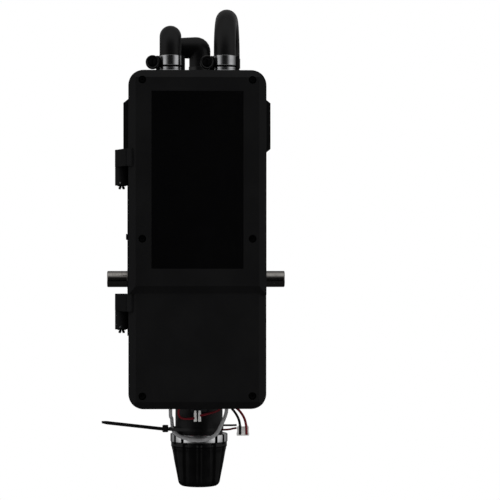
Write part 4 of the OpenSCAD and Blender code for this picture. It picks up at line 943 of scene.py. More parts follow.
def moulded_hose(path, radius):
    """Rings as in tube(), then pushed out of the bend: with curvature vector k at the
    ring's centre, its length 1 / R, a ring point's reach (q . k) R towards the bend's
    centre is held at or under GATHER x R. A lip of 0.9 mm rolls over both open ends."""
    tangent = np.gradient(path, axis=0)
    step = np.linalg.norm(tangent, axis=1)
    bend = np.gradient(tangent / step[:, None], axis=0) / step[:, None]
    curve = np.linalg.norm(bend, axis=1)
    centre_way = bend / np.maximum(curve, 1e-9)[:, None]
    limit = GATHER / np.maximum(curve, 1e-4)
    ring = across(path, HOSE_SIDES)
    a = angles(HOSE_SIDES)
    seam = 0.35 * np.exp(-(((a - 1.2 + np.pi) % (2 * np.pi) - np.pi) / 0.05) ** 2)

    def shell(r):
        q = ring * r
        reach = (q * centre_way[:, None]).sum(-1)
        over = np.maximum(reach - limit[:, None], 0)
        return path[:, None] + q - centre_way[:, None] * over[..., None]

    count = np.arange(len(path))
    eased = np.array([0.9, 0.35, 0.08, 0.0])[np.minimum(np.minimum(count, count[::-1]), 3)]
    r = np.broadcast_to(radius, len(path))
    outer = shell((r - eased)[:, None, None] + seam[None, :, None])
    inner = shell((HOSE_BORE + 0.5 * eased)[:, None, None])
    return skin(np.concatenate([outer, inner[::-1]]), loop=True)


# %% Left hose: up, back, across and down; right hose: a tall arch
share = np.linspace(0, 1, 150)
swell = 0.5 * np.exp(-((share - 0.80) / 0.05) ** 2) - 0.7 * np.exp(-((share - 0.66) / 0.05) ** 2)
left_path = even(filleted([(-40, -206, 322), (-40, -206, 369.9), (-40, -150, 369.9),
                           (-40, -94, 361.8), (5.8, -94, 362.2), (5.8, -94, 315)],
                          (17, 60, 19, 5.5)), len(share))
right_path = even(route([(42, -206, 322), (42, -206, 367), (45, -173, 399), (49, -127, 399),
                         (52, -94, 367), (52, -94, 328)], 16), 120)
for side, path, radius in (("left", left_path, HOSE_R + swell), ("right", right_path, HOSE_R)):
    piece("moulded_hose_" + side, [moulded_hose(path, radius)], HOSE_RUBBER, side + "_hose",
          crease=50)
print("hose lengths", round(length_of(left_path), 1), round(length_of(right_path), 1), "mm")

# %% [markdown]
# ## The hose stubs and their clamps
# Each hose end is pushed over a turned and zinc-plated stub with a flange that seals on
# the housing, a thick collar and a thin neck with barbs. A worm-drive clamp holds it:
# a thin band with rolled edges, whose slotted end runs under a small housing with a
# hexagon-headed screw. Band, collar and flange are profiles turned about the hose's
# axis. The front pair is bright, and its satin finish shows the studio's dark middle.
# The gaps between the hoses show no bright metal, so the rear pair takes the black knob finish:
# painted shade in place of plated metal.

# %% Stubs: x, y, top of the collar, foot
ZINC_BAND = metal("clamp_band", (0.50, 0.505, 0.515), (0.44, 0.445, 0.455), (0.15, 0.20),
                  120.0, extra=marked((60.0, 60.0, 5200.0), 0.1, 2e-5, 0.04, 0.1))
STUBS = [(-40, -206, 322, 312), (42, -206, 322, 312), (5.8, -94, 315, 296), (52, -94, 328, 296)]


def stub_profile(foot, collar):
    """Closed profile, outside then bore, in (radius, height): a flange with a rounded
    rim, a neck, a collar 6 mm high with a groove, and three barbs under the hose."""
    barbs = [(11.0, collar + 0.4)]
    for k in range(3):
        h = collar + 3.0 + 5.5 * k
        barbs += [(11.0, h), (11.75, h + 0.2), (11.0, h + 4.2)]
    rim = [*arc((22 - 0.8, foot + 3.9), 0.8, np.linspace(0, np.pi / 2, 5))]
    neck = [(12.4, foot + 4.7), (11.6, foot + 5.4), (11.6, collar - 6)]
    ring = [(16.5, collar - 6), (17.1, collar - 5.4), (17.1, collar - 3.6),
            (16.5, collar - 3.2), (16.5, collar - 2.6), (17.1, collar - 2.2),
            (17.1, collar - 0.6), (16.5, collar)]
    return ([(10, foot), (21.5, foot), (22, foot + 0.5)] + rim
            + (neck if collar - 6 >= foot + 5 else []) + ring + barbs
            + [(11.0, collar + 20.6), (10.6, collar + 21.3), (10, collar + 21.3)])


stub_skins = [turned(stub_profile(foot, collar), (x, y, 0), "z", 72, True)
              for x, y, collar, foot in STUBS]
piece("hose_end_stubs", stub_skins[:2], ZINC_BAND, "hose_stubs", crease=28)
# Painted shade: the rear stubs take the black knob finish in place of the bright plating of the
# front pair.
piece("rear_hose_stubs", stub_skins[2:], KNOB_BLACK, crease=28)

# %% Bands
BAND_IN, BAND_OUT, EDGE_ROLL = 16.6, 17.4, 0.25


def band_profile(low, high):
    """Strip from low to high whose edges roll outwards: at both edges a half circle of
    EDGE_ROLL sits on the strip's outer face."""
    t = np.linspace(-np.pi / 2, np.pi / 2, 5)
    foot, head = ([*arc((BAND_OUT - 0.2, z), EDGE_ROLL, t)]
                  for z in (low + EDGE_ROLL, high - EDGE_ROLL))
    flat = [(BAND_OUT - 0.12, z) for z in (low + 1.2, low + 1.5, high - 1.5, high - 1.2)]
    return [(BAND_IN, low)] + foot + flat + head + [(BAND_IN, high)]


band_skins = [turned(band_profile(z + 2.3, z + 17.3), (x, y, 0), "z", 96, True)
              for x, y, z, foot in STUBS]
piece("worm_clamp_bands", band_skins[:2], ZINC_BAND, "hose_clamps", crease=40)
# Painted shade: the rear bands take the black knob finish in place of the bright plating of the
# front pair.
piece("rear_clamp_bands", band_skins[2:], KNOB_BLACK, crease=40)

# %% [markdown]
# ## Worm housings of the hose clamps
# At one side of each band sits the housing with the tightening screw. Seen from the
# front it is a round black cap with a screw in it, and a short body behind it that
# hugs the band. The two front clamps also have a half ring of the same moulding behind
# the hose. The cap is turned about the screw's axis, the body is a rounded block, and
# the half ring is a rounded cross-section swept through half a turn.

# %% Sweep a cross-section round an arc
def arc_sweep(r0, r1, z0, z1, corner, start, end, steps):
    """Rectangle r0..r1 by z0..z1 with round corners, carried from angle start to end, in
    degrees, about the vertical axis, with flat ends."""
    r, h = (outline((r1 - r0) / 2, (z1 - z0) / 2, corner, 4) + [(r0 + r1) / 2, (z0 + z1) / 2]).T
    a = np.radians(np.linspace(start, end, steps))[:, None]
    return skin(points(r * np.cos(a), r * np.sin(a), h))


def quarter_turned(made):
    """The same skin turned a quarter turn clockwise about Z: x becomes y, y becomes -x."""
    p, faces, uv = made
    return points(p[:, 1], -p[:, 0], p[:, 2]), faces, uv


# %% The four housings
def housing_skins(front):
    """Skins about the hose's axis at 0, 0, heights from the collar's top: cap of 10.5 mm
    radius with a raised rim, its screw, the body, and the band's thread cover."""
    x, z = -26.9, 6.4
    rim = [(5.0, -5.5), (10.2, -5.5), (10.5, -6.3), (10.5, -13.2), (10.2, -14.3), (9.6, -15.0),
           (8.4, -15.0), (7.8, -14.6), (7.6, -12.4), (5.0, -12.2)]
    cut = np.minimum(slot(9.6, 1.7), 4.4)
    screw = [(2.2, -8), (2.2, -12.3), (6.6, -12.3), (6.6, -12.9), (6.2, -13.1),
             (hexagon(5.0), -13.2), (hexagon(5.0), -14.3), (hexagon(4.6), -14.8), (cut, -14.8),
             (cut, -13.3), (0.4, -13.3)]
    stem = [(7.0, -6.4), (7.0, 9.0), (6.4, 10.0), (3.0, 10.0)]
    parts = [turned(rim, (x, 0, z), "y", 64, True), turned(screw, (x, 0, z), "y", 72),
             turned(stem, (x, 0, z), "y", 72),
             block((x, -6.2, z - 6.9), (-17.6, 9.8, z + 6.9), 1, 1.6, 0.7),
             block((x + 1.5, -4.5, z + 5.5), (-17.7, 8.0, z + 8.2), 2, 1.2, 0.6)]
    if front:
        parts.append(arc_sweep(17.55, 22, -5, 17.3, 1.4, 1, 179, 48))
        parts += [arc_sweep(21.6, 22.0, z0, z0 + 1.6, 0.19, 8, 172, 40) for z0 in (0.5, 10.5)]
    return parts


BLACK_OXIDE = finish("black_oxide_steel", (0.0018, 0.0018, 0.002), (0.004, 0.004, 0.0043),
                     (0.32, 0.44), specular=0.08, mottle=180.0, grain=2600.0,
                     grain_strength=0.15, rub=0.3, rub_colour=(0.02, 0.02, 0.02))
housings, screws = [], []
for k, (x, y, z, foot) in enumerate(STUBS):
    for i, part in enumerate(housing_skins(k < 2)):
        part = part if k < 2 else quarter_turned(part)
        (screws if i == 1 else housings).extend(copies(part, [(x, y, z)]))
piece("clamp_worm_housings", housings, KNOB_BLACK, "clamp_screws")
piece("clamp_worm_screws", screws, BLACK_OXIDE)

# %% [markdown]
# ## Screws of the box and the frame
# Six captive cap screws hold the cover. They sit deep in round recesses, so from the
# front one sees little more than black holes: their finish is black oxide, and the
# hexagon socket is modelled all the same because it shows from below and from the side.
# The frame is bolted with plated hexagon bolts, and the gear cover with pan heads.

# %% Cover screws, frame bolts and gear cover screws
COVER_SCREWS = [(x, y, z) for x in (-81.5, 81.5)
                for y, z in ((-266, -171), (-272, 62), (-272, 297))]
FLANGE_LEVELS = (-60.43, 16.01, 166.16)
COVER_SEAT = -223
piece("captive_cover_screws",
      [cap_head(p, "y", -1, 4.4, 4.6, 2.5, COVER_SEAT - p[1]) for p in COVER_SCREWS],
      BLACK_OXIDE, "cover_screws", body="cover")
piece("frame_hex_bolts", [hex_bolt((x, y, z), "y", -1, 5.0, 4.0, 5.0, 3.0, shank)
                          for y, shank in ((-187, 7.0), (-8, 4.0))
                          for x in (-88.5, 88.5) for z in FLANGE_LEVELS],
      ZINC, "frame_bolts")
piece("gear_cover_pan_screws", [slot_head((38, y, z), "x", 1, 3.5, 2.6, 2.0, 14.0, 48)
                                for y in (-159, -48) for z in (-69, 56)],
      ZINC, "gear_cover_screws")

# %% [markdown]
# ## Hinges and side plugs
# The cover hangs on two lift-off hinges. Each pin stands in a knuckle on the tray and
# ends below it in two bent legs, like a split pin. A thin leaf runs from the cover's
# front corner round the outside of its knuckle. Each ear of the tray has a cable hole
# that is closed with a pressed plug: a rim, a domed middle and a hexagon recess.

# %% Pins with split ends
HINGE_X, HINGE_Y, KNUCKLE_R = -113, -229, 10.15
HINGES = ((142.1, 195.5, -276.5), (-73.4, -20.0, -270.5))


def pin_skins(low, top):
    """A turned pin with a chamfered head, and two legs below the knuckle: each a small
    round rod along a bent line that leans outwards."""
    x, y = HINGE_X, HINGE_Y
    rod = turned([(3.4, low - 1.2), (6.2, low - 1.0), (6.4, low - 0.6), (6.4, low - 0.1),
                  (4.5, low), (4.5, top - 2.6), (3.9, top - 2.0)], (x, y, 0))
    legs = [tube([(x + s * 1.3, y, low - 1.0), (x + s * 2.0, y - 0.2, low - 2.2),
                  (x + s * 2.9, y - 0.4, low - 3.8), (x + s * 3.1, y - 0.5, low - 5.6)],
                 np.array([1.4, 1.9, 2.1, 1.7]), 14) for s in (-1, 1)]
    return [rod] + legs


piece("hinge_pin_pair", [s for low, top, front in HINGES for s in pin_skins(low, top)],
      BLACK_OXIDE, "hinge_pins")
piece("knuckle_grub_screws", [slot_head((-114.5, -238.9, low + 3.4), "y", -1, 1.5, 0.9, 1.2, 2.0)
                              for low, top, front in HINGES], ZINC)


# %% Leaves that wrap the upper knuckles
def prism(flat, low, high, rim=0.5):
    """Polygon given as (x, y) rows, lifted from low to high; the top and bottom rings
    are drawn in towards the middle by the rim."""
    middle = flat.mean(0)
    reach = np.linalg.norm(flat - middle, axis=1)[:, None]
    small = middle + (flat - middle) * (1 - rim / reach)
    return skin(lifted([(small, low), (flat, low + rim), (flat, high - rim), (small, high)]))


def leaf_outline(front):
    """From the knuckle's outer side, along a flat tangent to the cover's front corner,
    and back inside the moulded leaf; the knuckle's part is an arc of its radius."""
    wrap = arc((HINGE_X, HINGE_Y), KNUCKLE_R, np.radians(np.linspace(176, 200, 7)))
    flat = np.linspace(wrap[-1], (-105.7, front), 8)[1:]
    back = np.array([(-104.6, front + 0.4), (-104.4, front + 7), (-111.0, -240.0),
                     (-116.0, -231.0)])
    return np.concatenate([wrap, flat, back])


HINGE_BLACK = finish("hinge_black", (0.0030, 0.0030, 0.0032), (0.0042, 0.0042, 0.0045),
                     (0.42, 0.5), specular=0.03, grain_strength=0.2, mottle=18.0, rub=0.15,
                     rub_colour=(0.012, 0.012, 0.012))
piece("hinge_leaf_skins", [prism(leaf_outline(front), top - 25.7, top)
                           for low, top, front in HINGES],
      HINGE_BLACK, body="cover")

# %% Side plugs
# Turned about X outwards from the tray's wall: a neck in the hole, a rim with a round
# edge, a shallow groove, a domed middle and a hexagon recess.
PLUG_ROWS = [(9.6, 96.3), (9.9, 98.0), (9.9, 105.8), (10.7, 106.2), (11.0, 107.2), (11.0, 109.2),
             (10.6, 110.3), (9.8, 110.9), (8.6, 110.9), (8.2, 110.2), (7.6, 110.2), (7.2, 110.8),
             (6.6, 110.9), (hexagon(5.4), 110.8), (hexagon(5.2), 110.4), (hexagon(5.0), 107.0),
             (1.2, 106.6)]
piece("ear_plug_pair", [facing(PLUG_ROWS, side, (0, -202, 232.5), "x") for side in (-1, 1)],
      KNOB_BLACK, "side_plugs")

# %% [markdown]
# ## Bolts through the plates
# The side plates carry the gearbox inside, so each shows four low black cap screws
# round the shaft. They sit well back and stand out less than two millimetres, because
# the box's sides are one clean line from the front. The sheet housing on top is closed
# with small pan heads. Their short shanks reach into the sheet so that no head floats.

# %% Side plate and housing screws
SIDE_PLATE_X = 107.5
piece("side_plate_bolts", [cap_head((s * SIDE_PLATE_X, y, z), "x", s, 4.6, 1.7, 2.5, 3.0, 0.45)
                           for y in (-40, -112) for z in (-62, 66) for s in (-1, 1)],
      BLACK_OXIDE)
piece("housing_screws", [slot_head((84, y, z), "x", 1, 3.0, 1.8, 1.6, 2.0)
                         for y in (-22, -166) for z in (214, 284)]
      + [slot_head((x, y, 296), "z", 1, 3.0, 1.8, 1.6, 2.0)
         for y in (-16, -172) for x in (-20, 76)], BLACK_OXIDE)

# %% [markdown]
# ## The motor's lower end
# A black rubber boot closes the motor. It is a tapered cup with twelve flutes that begin
# just under its top edge. Its radius is a function of height and angle: the taper gives
# the height's part, and each flute takes out a shallow arc. A two-part mould is pulled
# off to the front and back, so the flutes stay nearly upright instead of following the
# taper: their angles open out towards the sides as the cup narrows.

# %% Boot
DRIVE = (4, -140)
BOOT_RUBBER = finish("boot_rubber", (0.0022, 0.0022, 0.0024), (0.0032, 0.0032, 0.0034),
                     (0.30, 0.38), specular=0.24, grain=1800.0, grain_strength=0.05,
                     mottle=60.0, dust=0.03)
BOOT_PROFILE = np.array([(43.0, -249.9), (43.3, -250.4), (43.3, -256.2), (42.9, -257.0),
                         (42.5, -257.4), (42.1, -260.0), (41.2, -263.7), (38.5, -279.2),
                         (35.5, -294.6), (33.1, -307.4), (32.5, -310.6), (31.6, -313.4),
                         (29.8, -315.9), (27.0, -317.8), (23.5, -318.5), (18.0, -318.6)])


def boot_rings(profile, deep, wide=4.6, flutes=12, sides=288):
    """Ring point at angle a and height z: radius r(z) - deep x (1 - (s / wide)^2) where
    s, the distance along the wall to the nearest flute, is under wide. The flutes fade
    in over 1.2 mm under the top edge and fade out over the bottom edge. A flute at angle
    f from the front moves to f + k sin 2f, with k from 0 at the top to 11 degrees."""
    heights = np.concatenate([np.linspace(a, b, 7)[:-1] for a, b in
                              zip(profile[:-1, 1], profile[1:, 1])] + [profile[-1:, 1]])
    r = np.interp(-heights, -profile[:, 1], profile[:, 0])
    a = angles(sides)
    down = np.clip((-257 - heights) / 55, 0, 1)
    f = np.arange(flutes) * 2 * np.pi / flutes
    f = f[None] + np.radians(11) * down[:, None] * np.sin(2 * f)[None]
    off = np.abs((a[None, :, None] - f[:, None] + np.pi) % (2 * np.pi) - np.pi).min(-1)
    hollow = np.clip(1 - (off * r[:, None] / wide) ** 2, 0, 1)
    fade = np.clip((-250.6 - heights) / 1.2, 0, 1) * np.clip((r - 27) / 5, 0, 1)
    radius = r[:, None] - deep * hollow * fade[:, None]
    x, y = radius * np.sin(a) + DRIVE[0], -radius * np.cos(a) + DRIVE[1]
    return points(x, y, heights[:, None])


inner_profile = np.concatenate([[(40.9, -249.9), (40.9, -254)], BOOT_PROFILE[6:14] + [-3.5, 3.4]])
boot = np.concatenate([boot_rings(inner_profile, 0.0)[::-1], boot_rings(BOOT_PROFILE, 2.4)])
piece("fluted_boot", [skin(boot)], BOOT_RUBBER, "motor_boot", crease=50)

# %% [markdown]
# ## Clamp ring
# A bright turned ring joins boot and motor. Twelve narrow notches for a hook spanner
# are milled through its rim. The ring's radius steps in within a notch, so its angles
# are not even: each notch edge gets a pair of columns.

# %% Ring with spanner notches
RING_R, NOTCH_DEEP, HALF_NOTCH = 44.2, 3.2, 2.5
NOTCHES = [s * a % 360 for s in (-1, 1) for a in (36, 57, 76, 104, 123, 144)]


def notched_angles(fill_step=3.0):
    """Sorted angles in degrees with four columns at each notch (out, in, in, out) and
    fillers every few degrees between, and whether each angle is inside a notch."""
    half = np.degrees(HALF_NOTCH / RING_R)
    notch = np.array(sorted(NOTCHES))
    edges = np.concatenate([notch - half - 0.05, notch - half + 0.05, notch + half - 0.05,
                            notch + half + 0.05])
    fillers = np.arange(0, 360, fill_step)
    far = np.abs((fillers[:, None] - notch + 180) % 360 - 180).min(1) > half + 0.4
    a = np.sort(np.concatenate([edges % 360, fillers[far]]))
    return a, np.abs((a[:, None] - notch + 180) % 360 - 180).min(1) < half


# Rows are (1 where the notches cut, radius, height); angles count from the front.
RING_ROWS = [(0, 20.6, -252.6), (0, 40.6, -252.6), (0, 40.6, -249.9), (1, 43.4, -249.8),
             (1, 44.1, -249.0), (1, 44.2, -248.2), (1, 44.2, -238.9), (1, 44.1, -238.1),
             (1, 43.4, -237.4), (0, 37.2, -237.3), (0, 36.9, -239.0), (0, 20.6, -239.0)]
ring_angles, in_notch = notched_angles()
from_front = points(np.sin(np.radians(ring_angles)), -np.cos(np.radians(ring_angles)))
ring_rings = lifted([(DRIVE + (r - NOTCH_DEEP * cut * in_notch)[:, None] * from_front, z)
                     for cut, r, z in RING_ROWS])


# Painted shade: the colour is darkened on the notches' floors and walls, where shade falls.
def painted_shade_in_notches(tree, shader, shade, gloss):
    """Painted shade in the notches: below about 43 mm from the motor's axis, sqrt((x - 4)^2 + (y +
    140)^2), the colour is darkened.
    """
    x, y, z = axes(tree)
    dx, dy = x - DRIVE[0] * MM, y - DRIVE[1] * MM
    notch_shade = (dx * dx + dy * dy).math("SQRT").ramp(0.0426, 0.0441, 1.0, 0.0)
    return (notch_shade * z.ramp(-0.2372, -0.2380)).mix(shade, (0.02, 0.02, 0.02)), gloss


RING_ALLOY = metal("ring_alloy", (0.90, 0.90, 0.91), (0.80, 0.805, 0.81), (0.16, 0.24), 60.0,
                   grain=1200.0, grain_strength=0.08, extra=painted_shade_in_notches)
piece("spanner_clamp_ring", [skin(ring_rings, loop=True)], RING_ALLOY, "motor_clamp_ring",
      crease=28)

# %% [markdown]
# ## Cable tie
# A black nylon tie pulls the grey cable against the motor. Its strap has fine teeth,
# its head is a small box with a window for the pawl, and its tail sticks out to the
# left and a little up, cut off square. The strap's loop follows the outline round the
# motor and the cable: two circles and the two straight lines that touch both.

# %% Outline round two circles
CABLE_AT, CABLE_REACH, MOTOR_REACH = (-36.5, -153), 5.7, 36.6


def belt(c0, r0, c1, r1, count=160):
    """Outer tangent loop of two circles: with d the distance between the centres and
    u the direction from the first to the second, the tangent points lie at angle
    acos((r0 - r1) / d) either side of u on both circles."""
    c0, c1 = np.array(c0, float), np.array(c1, float)
    base = np.arctan2(*(c1 - c0)[::-1])
    beta = np.arccos((r0 - r1) / np.linalg.norm(c1 - c0))
    big = base + np.linspace(beta, 2 * np.pi - beta, count)
    small = base + np.linspace(-beta, beta, count // 3)
    return np.concatenate([arc(c0, r0, big), arc(c1, r1, small)])


def strap_loop(low, high, thick):
    """Four rows of the belt, inside low, outside low, outside high and inside high."""
    inside, outside = (belt(DRIVE, MOTOR_REACH + t, CABLE_AT, CABLE_REACH + t) for t in (0, thick))
    return skin(lifted([(inside, low + 0.3), (outside, low), (outside, high),
                        (inside, high - 0.3)]), loop=True)


def toothed_tail(start, tilt, length, width, thick, pitch=1.6):
    """Strip along -X, tilted up: its cross-section is a flat rectangle whose front face
    steps in and out by 0.35 mm once every pitch, and which narrows at the very end."""
    s = np.arange(0, length, pitch / 4)
    tooth = np.where((s / pitch) % 1 < 0.5, 0.0, 0.35)
    half = np.where(s > length - 8, width / 2 - (s - length + 8) * 0.12, width / 2)
    u, v = np.array([(-1, -1), (1, -1), (1, 1), (-1, 1)]).T
    y = u * (thick / 2 - tooth[:, None] * (u < 0))
    z = v * half[:, None]
    x, t = -s[:, None], np.radians(tilt)
    return skin(points(x * np.cos(t) - z * np.sin(t), y, -x * np.sin(t) + z * np.cos(t)) + start)


# %% Strap, head and tail
TIE_NYLON = finish("tie_nylon", (0.0045, 0.0045, 0.0048), (0.007, 0.007, 0.0074), (0.34, 0.46),
                   specular=0.3, grain=2000.0, grain_strength=0.15, mottle=80.0)
STRAP_THICK = 1.2
head_x, head_y = CABLE_AT[0] - CABLE_REACH - STRAP_THICK, CABLE_AT[1]
tie_skins = [strap_loop(-232.2, -227.2, STRAP_THICK)]
tie_skins += [block((head_x - x0, head_y - y0, z0), (head_x - x1, head_y + y1, z1), 1, corner, rim)
              for x0, x1, y0, y1, z0, z1, corner, rim in (
                  (9, 0, 4.5, 4.5, -234.4, -223.6, 1.4, 0.8),
                  (7.4, 1.4, 5.1, -4.4, -232.6, -225.6, 0.8, 0.25),
                  (5.6, 3.2, 5.4, -5.0, -230.8, -227.2, 0.5, 0.15))]
tie_skins.append(toothed_tail((head_x - 8.4, head_y, -229.6), 6.5, 94.5, 5.4, 1.3))
piece("toothed_cable_tie", tie_skins, TIE_NYLON, "cable_tie")

# %% [markdown]
# ## Motor terminals
# The two red leads end on flat tabs that stick down out of a small black terminal
# block. A tab is a thin strip with a chamfered tip and a hole, so it is a plate drawn
# as an outline with a round opening. The leads are held by crimped sleeves.

# %% Plates with a hole
def plate_with_hole(x0, x1, z0, z1, y0, y1, hole, chamfer, sides=48):
    """Both the rectangle with chamfered lower corners and the hole are radii about the
    hole's centre at the same angles: rings go hole-back, hole-front, edge-front,
    edge-back and close on themselves."""
    cx, cz = (x0 + x1) / 2, z0 + (x1 - x0) * 0.62
    c, s = np.cos(angles(sides)), np.sin(angles(sides))
    reach = np.minimum((x1 - x0) / 2 / np.maximum(np.abs(c), 1e-6),
                       np.where(s > 0, z1 - cz, cz - z0) / np.maximum(np.abs(s), 1e-6))
    corner = ((x1 - x0) / 2 + cz - z0 - chamfer) / np.maximum(np.abs(c) + np.abs(s), 1e-6)
    reach = np.where(s < 0, np.minimum(reach, corner), reach)
    rows = [(hole, y1), (hole, y0), (reach, y0), (reach, y1)]
    return skin([points(cx + r * c, y, cz + r * s) for r, y in rows], loop=True)


def crimp_sleeve(x, y, low, high):
    """Soft sleeve over a crimp: an oval outline that is full near both ends and narrows
    over the wire, width(t) = w (1 - 0.16 sin(pi t)^2), and closes in at its two rims."""
    t = np.linspace(0, 1, 25)
    ends = np.clip(np.minimum(t, 1 - t) / 0.05, 0, 1) ** 0.5
    w = (2.35 * (1 - 0.16 * np.sin(np.pi * t) ** 2)) * (0.72 + 0.28 * ends)
    return skin(lifted([(arc((x, y), (k, 0.85 * k), angles(28)), z)
                        for k, z in zip(w, low + (high - low) * t)]))


piece("motor_tabs", [plate_with_hole(x, x + 3.5, -215.5, -201.0, -180.5, -179.6, 0.75, 0.9)
                     for x in (-3.6, 2.2)], ZINC, "motor_terminals")
piece("crimp_sleeves", [crimp_sleeve(x, -180.6, -216.2, -199.0) for x in (-2.25, 4.35)],
      WHITE_NYLON, crease=60)
piece("motor_tab_block", [block((-9, -181.5, -202), (15, -170.5, -190), 1, 1.6, 0.6)]
      + [block((x, -182.0, -203.0), (x + 6.1, -178.0, -197.5), 2, 0.8, 0.4) for x in (-5.2, 1.2)],
      DARK_MOULDING)

# %% [markdown]
# ## Parts on the control board
# Behind the cover the frame gives plain blocks for the board and its big parts. A real
# board carries dozens of small ones whose leads catch the light: gull-wing chips, tiny
# ceramic blocks, a ring choke, white plug headers and a row of switches. Each kind is
# one skin that is copied to its places, so the whole board costs a few thousand faces.

# %% Gull-wing chips
BOARD_Y = -198.6


def on_board(places):
    """Each (x, z) as a point on the board's front face."""
    return [(x, BOARD_Y, z) for x, z in places]


def chip(x, z, half_x, half_z, pins, all_round=False):
    """Body and two or four rows of leads. A lead goes out of the side, down to the board
    and out again with a square section; its (out, up, along) is turned into (x, -y, z)
    on each side by the side's own pair of axes."""
    body = block((x - half_x, BOARD_Y - 2.0, z - half_z), (x + half_x, BOARD_Y - 0.3, z + half_z),
                 1, 0.4, 0.25, 2, 2)
    path_out, path_up = np.array([(0, 0.9), (0.35, 0.9), (0.55, 0.15), (1.05, 0.12)]).T[:, :, None]
    ring_up, ring_along = np.array([[0.1, 0.1, -0.1, -0.1], [-0.22, 0.22, 0.22, -0.22]])
    sides = [((1, 0), half_x, half_z), ((-1, 0), half_x, half_z)]
    if all_round:
        sides += [((0, 1), half_z, half_x), ((0, -1), half_z, half_x)]
    legs = []
    for (ux, uz), edge, half_row in sides:
        for s in np.linspace(-half_row + 0.9, half_row - 0.9, pins):
            away, along = path_out + edge, ring_along + s
            legs.append(skin(points(x + ux * away + uz * along, BOARD_Y - path_up - ring_up,
                                    z + uz * away + ux * along)))
    return body, legs


chips = [chip(-28, 90, 9, 9, 14, True), chip(-57, 100, 4, 7, 8), chip(-3, 68, 4, 6, 6),
         chip(-57, 78, 3, 4.5, 4), chip(70, 118, 2.6, 4.5, 4)]
piece("board_chips", [body for body, legs in chips], DARK_MOULDING)
piece("board_chip_leads", [leg for body, legs in chips for leg in legs], ZINC)

# %% Small ceramic parts in rows that keep clear of the big ones
CERAMIC_TAN = finish("ceramic_tan", (0.34, 0.24, 0.15), (0.26, 0.18, 0.11), (0.4, 0.55),
                     grain=2500.0, grain_strength=0.2, mottle=400.0)
BIG_PARTS = np.array([(-40, -16, 76, 104), (-64, -50, 70, 110), (-10, 4, 58, 78),
                      (15, 67, 68, 136), (-62, 8, 134, 180), (9, 76, 134, 180),
                      (-64, 72, 9, 48), (-60, 52, -26, 9), (-46, -18, 50, 72),
                      (-10, 4, 84, 128), (64, 74, 54, 124), (-66, -12, 112, 134)])
BOARD_HOLES = [(x, z) for x in (-69, 69) for z in (-26, 81, 188)]
chance = np.random.default_rng(7)
grid_x, grid_z = np.meshgrid(np.arange(-68, 70, 5.2), np.arange(-28, 190, 4.3), indexing="ij")
spots = points(grid_x.ravel(), grid_z.ravel()) + chance.uniform(-0.7, 0.7, (grid_x.size, 2))
x, z = spots[:, 0, None], spots[:, 1, None]
x0, x1, z0, z1 = BIG_PARTS.T
inside = (x > x0 - 2) & (x < x1 + 2) & (z > z0 - 2) & (z < z1 + 2)
near_hole = (np.abs(spots[:, None] - np.array(BOARD_HOLES)) < 7).all(-1)
places = on_board(spots[~inside.any(1) & ~near_hole.any(1)][::2])
middle = block((-0.65, -0.75, -0.5), (0.65, 0, 0.5), 1, 0.1, 0.1, 2, 2)
ends = [block((x - 0.3, -0.8, -0.55), (x + 0.3, 0, 0.55), 1, 0.1, 0.1, 2, 2)
        for x in (-0.95, 0.95)]
piece("board_ceramics", copies(middle, places), CERAMIC_TAN)
piece("board_solder_caps", [c for end in ends for c in copies(end, places)], TIN_DULL)
print(len(places), "small parts")

# %% Ring choke
WIRE_ENAMEL = metal("wire_enamel", (0.50, 0.19, 0.06), (0.40, 0.14, 0.045), (0.22, 0.34), 90.0,
                    grain_strength=0.1)
TURNS, CHOKE_R, CORE_R = 26, 7.2, 3.0
CHOKE_AT = np.array([-32, BOARD_Y - 3.8, 61])


def on_torus(around, small, r):
    """Points at angle around the choke's ring and angle small around its section."""
    out = CHOKE_R + r * np.cos(small)
    return points(out * np.cos(around), -r * np.sin(small), out * np.sin(around)) + CHOKE_AT


t = angles(TURNS * 14)
piece("ring_choke_wire", [tube(on_torus(t * 0.92 + 0.25, t * TURNS, CORE_R), 0.42, 6,
                               guide=(0.03, 1.0, 0.05))], WIRE_ENAMEL, crease=70)
piece("ring_choke_core", [skin(on_torus(angles(40)[:, None], -angles(10), 2.4), loop=True)],
      DARK_MOULDING)

# %% Plug headers and switches
headers, pins = [], []
pin = block((-0.45, -9.2, -0.45), (0.45, -7.2, 0.45), 1, 0.05, 0.25, 2, 2)
for x, z, count in ((-58, 123, 6), (-31, 123, 4), (-2, 92, 3)):
    half = count * 1.6
    headers += [block((x - half - 1.2, BOARD_Y - 7.4, z - 3.4),
                      (x + half + 1.2, BOARD_Y, z + 3.4), 1, 0.6, 0.4),
                block((x - half + 0.6, BOARD_Y - 9.4, z + 2.0),
                      (x + half - 0.6, BOARD_Y - 7.2, z + 3.2), 1, 0.3, 0.3, 3, 2)]
    pins += copies(pin, on_board([(x - half + 1.6 + 3.2 * k, z - 0.6) for k in range(count)]))
piece("plug_headers", headers, BUTTON_WHITE)
piece("plug_header_pins", pins, BRIGHT_ALLOY)
piece("switch_bank", [block((-7, BOARD_Y - 5.4, 106), (0, BOARD_Y, 126), 1, 0.5, 0.3)],
      BUTTON_RED)
piece("switch_sliders", copies(block((-5.2, -6.5, -0.7), (-3.2, -5.2, 0.7), 1, 0.2, 0.2, 2, 2),
                               on_board([(1.6 * (k % 2), 108.4 + 2.2 * k) for k in range(8)])),
      BUTTON_WHITE)

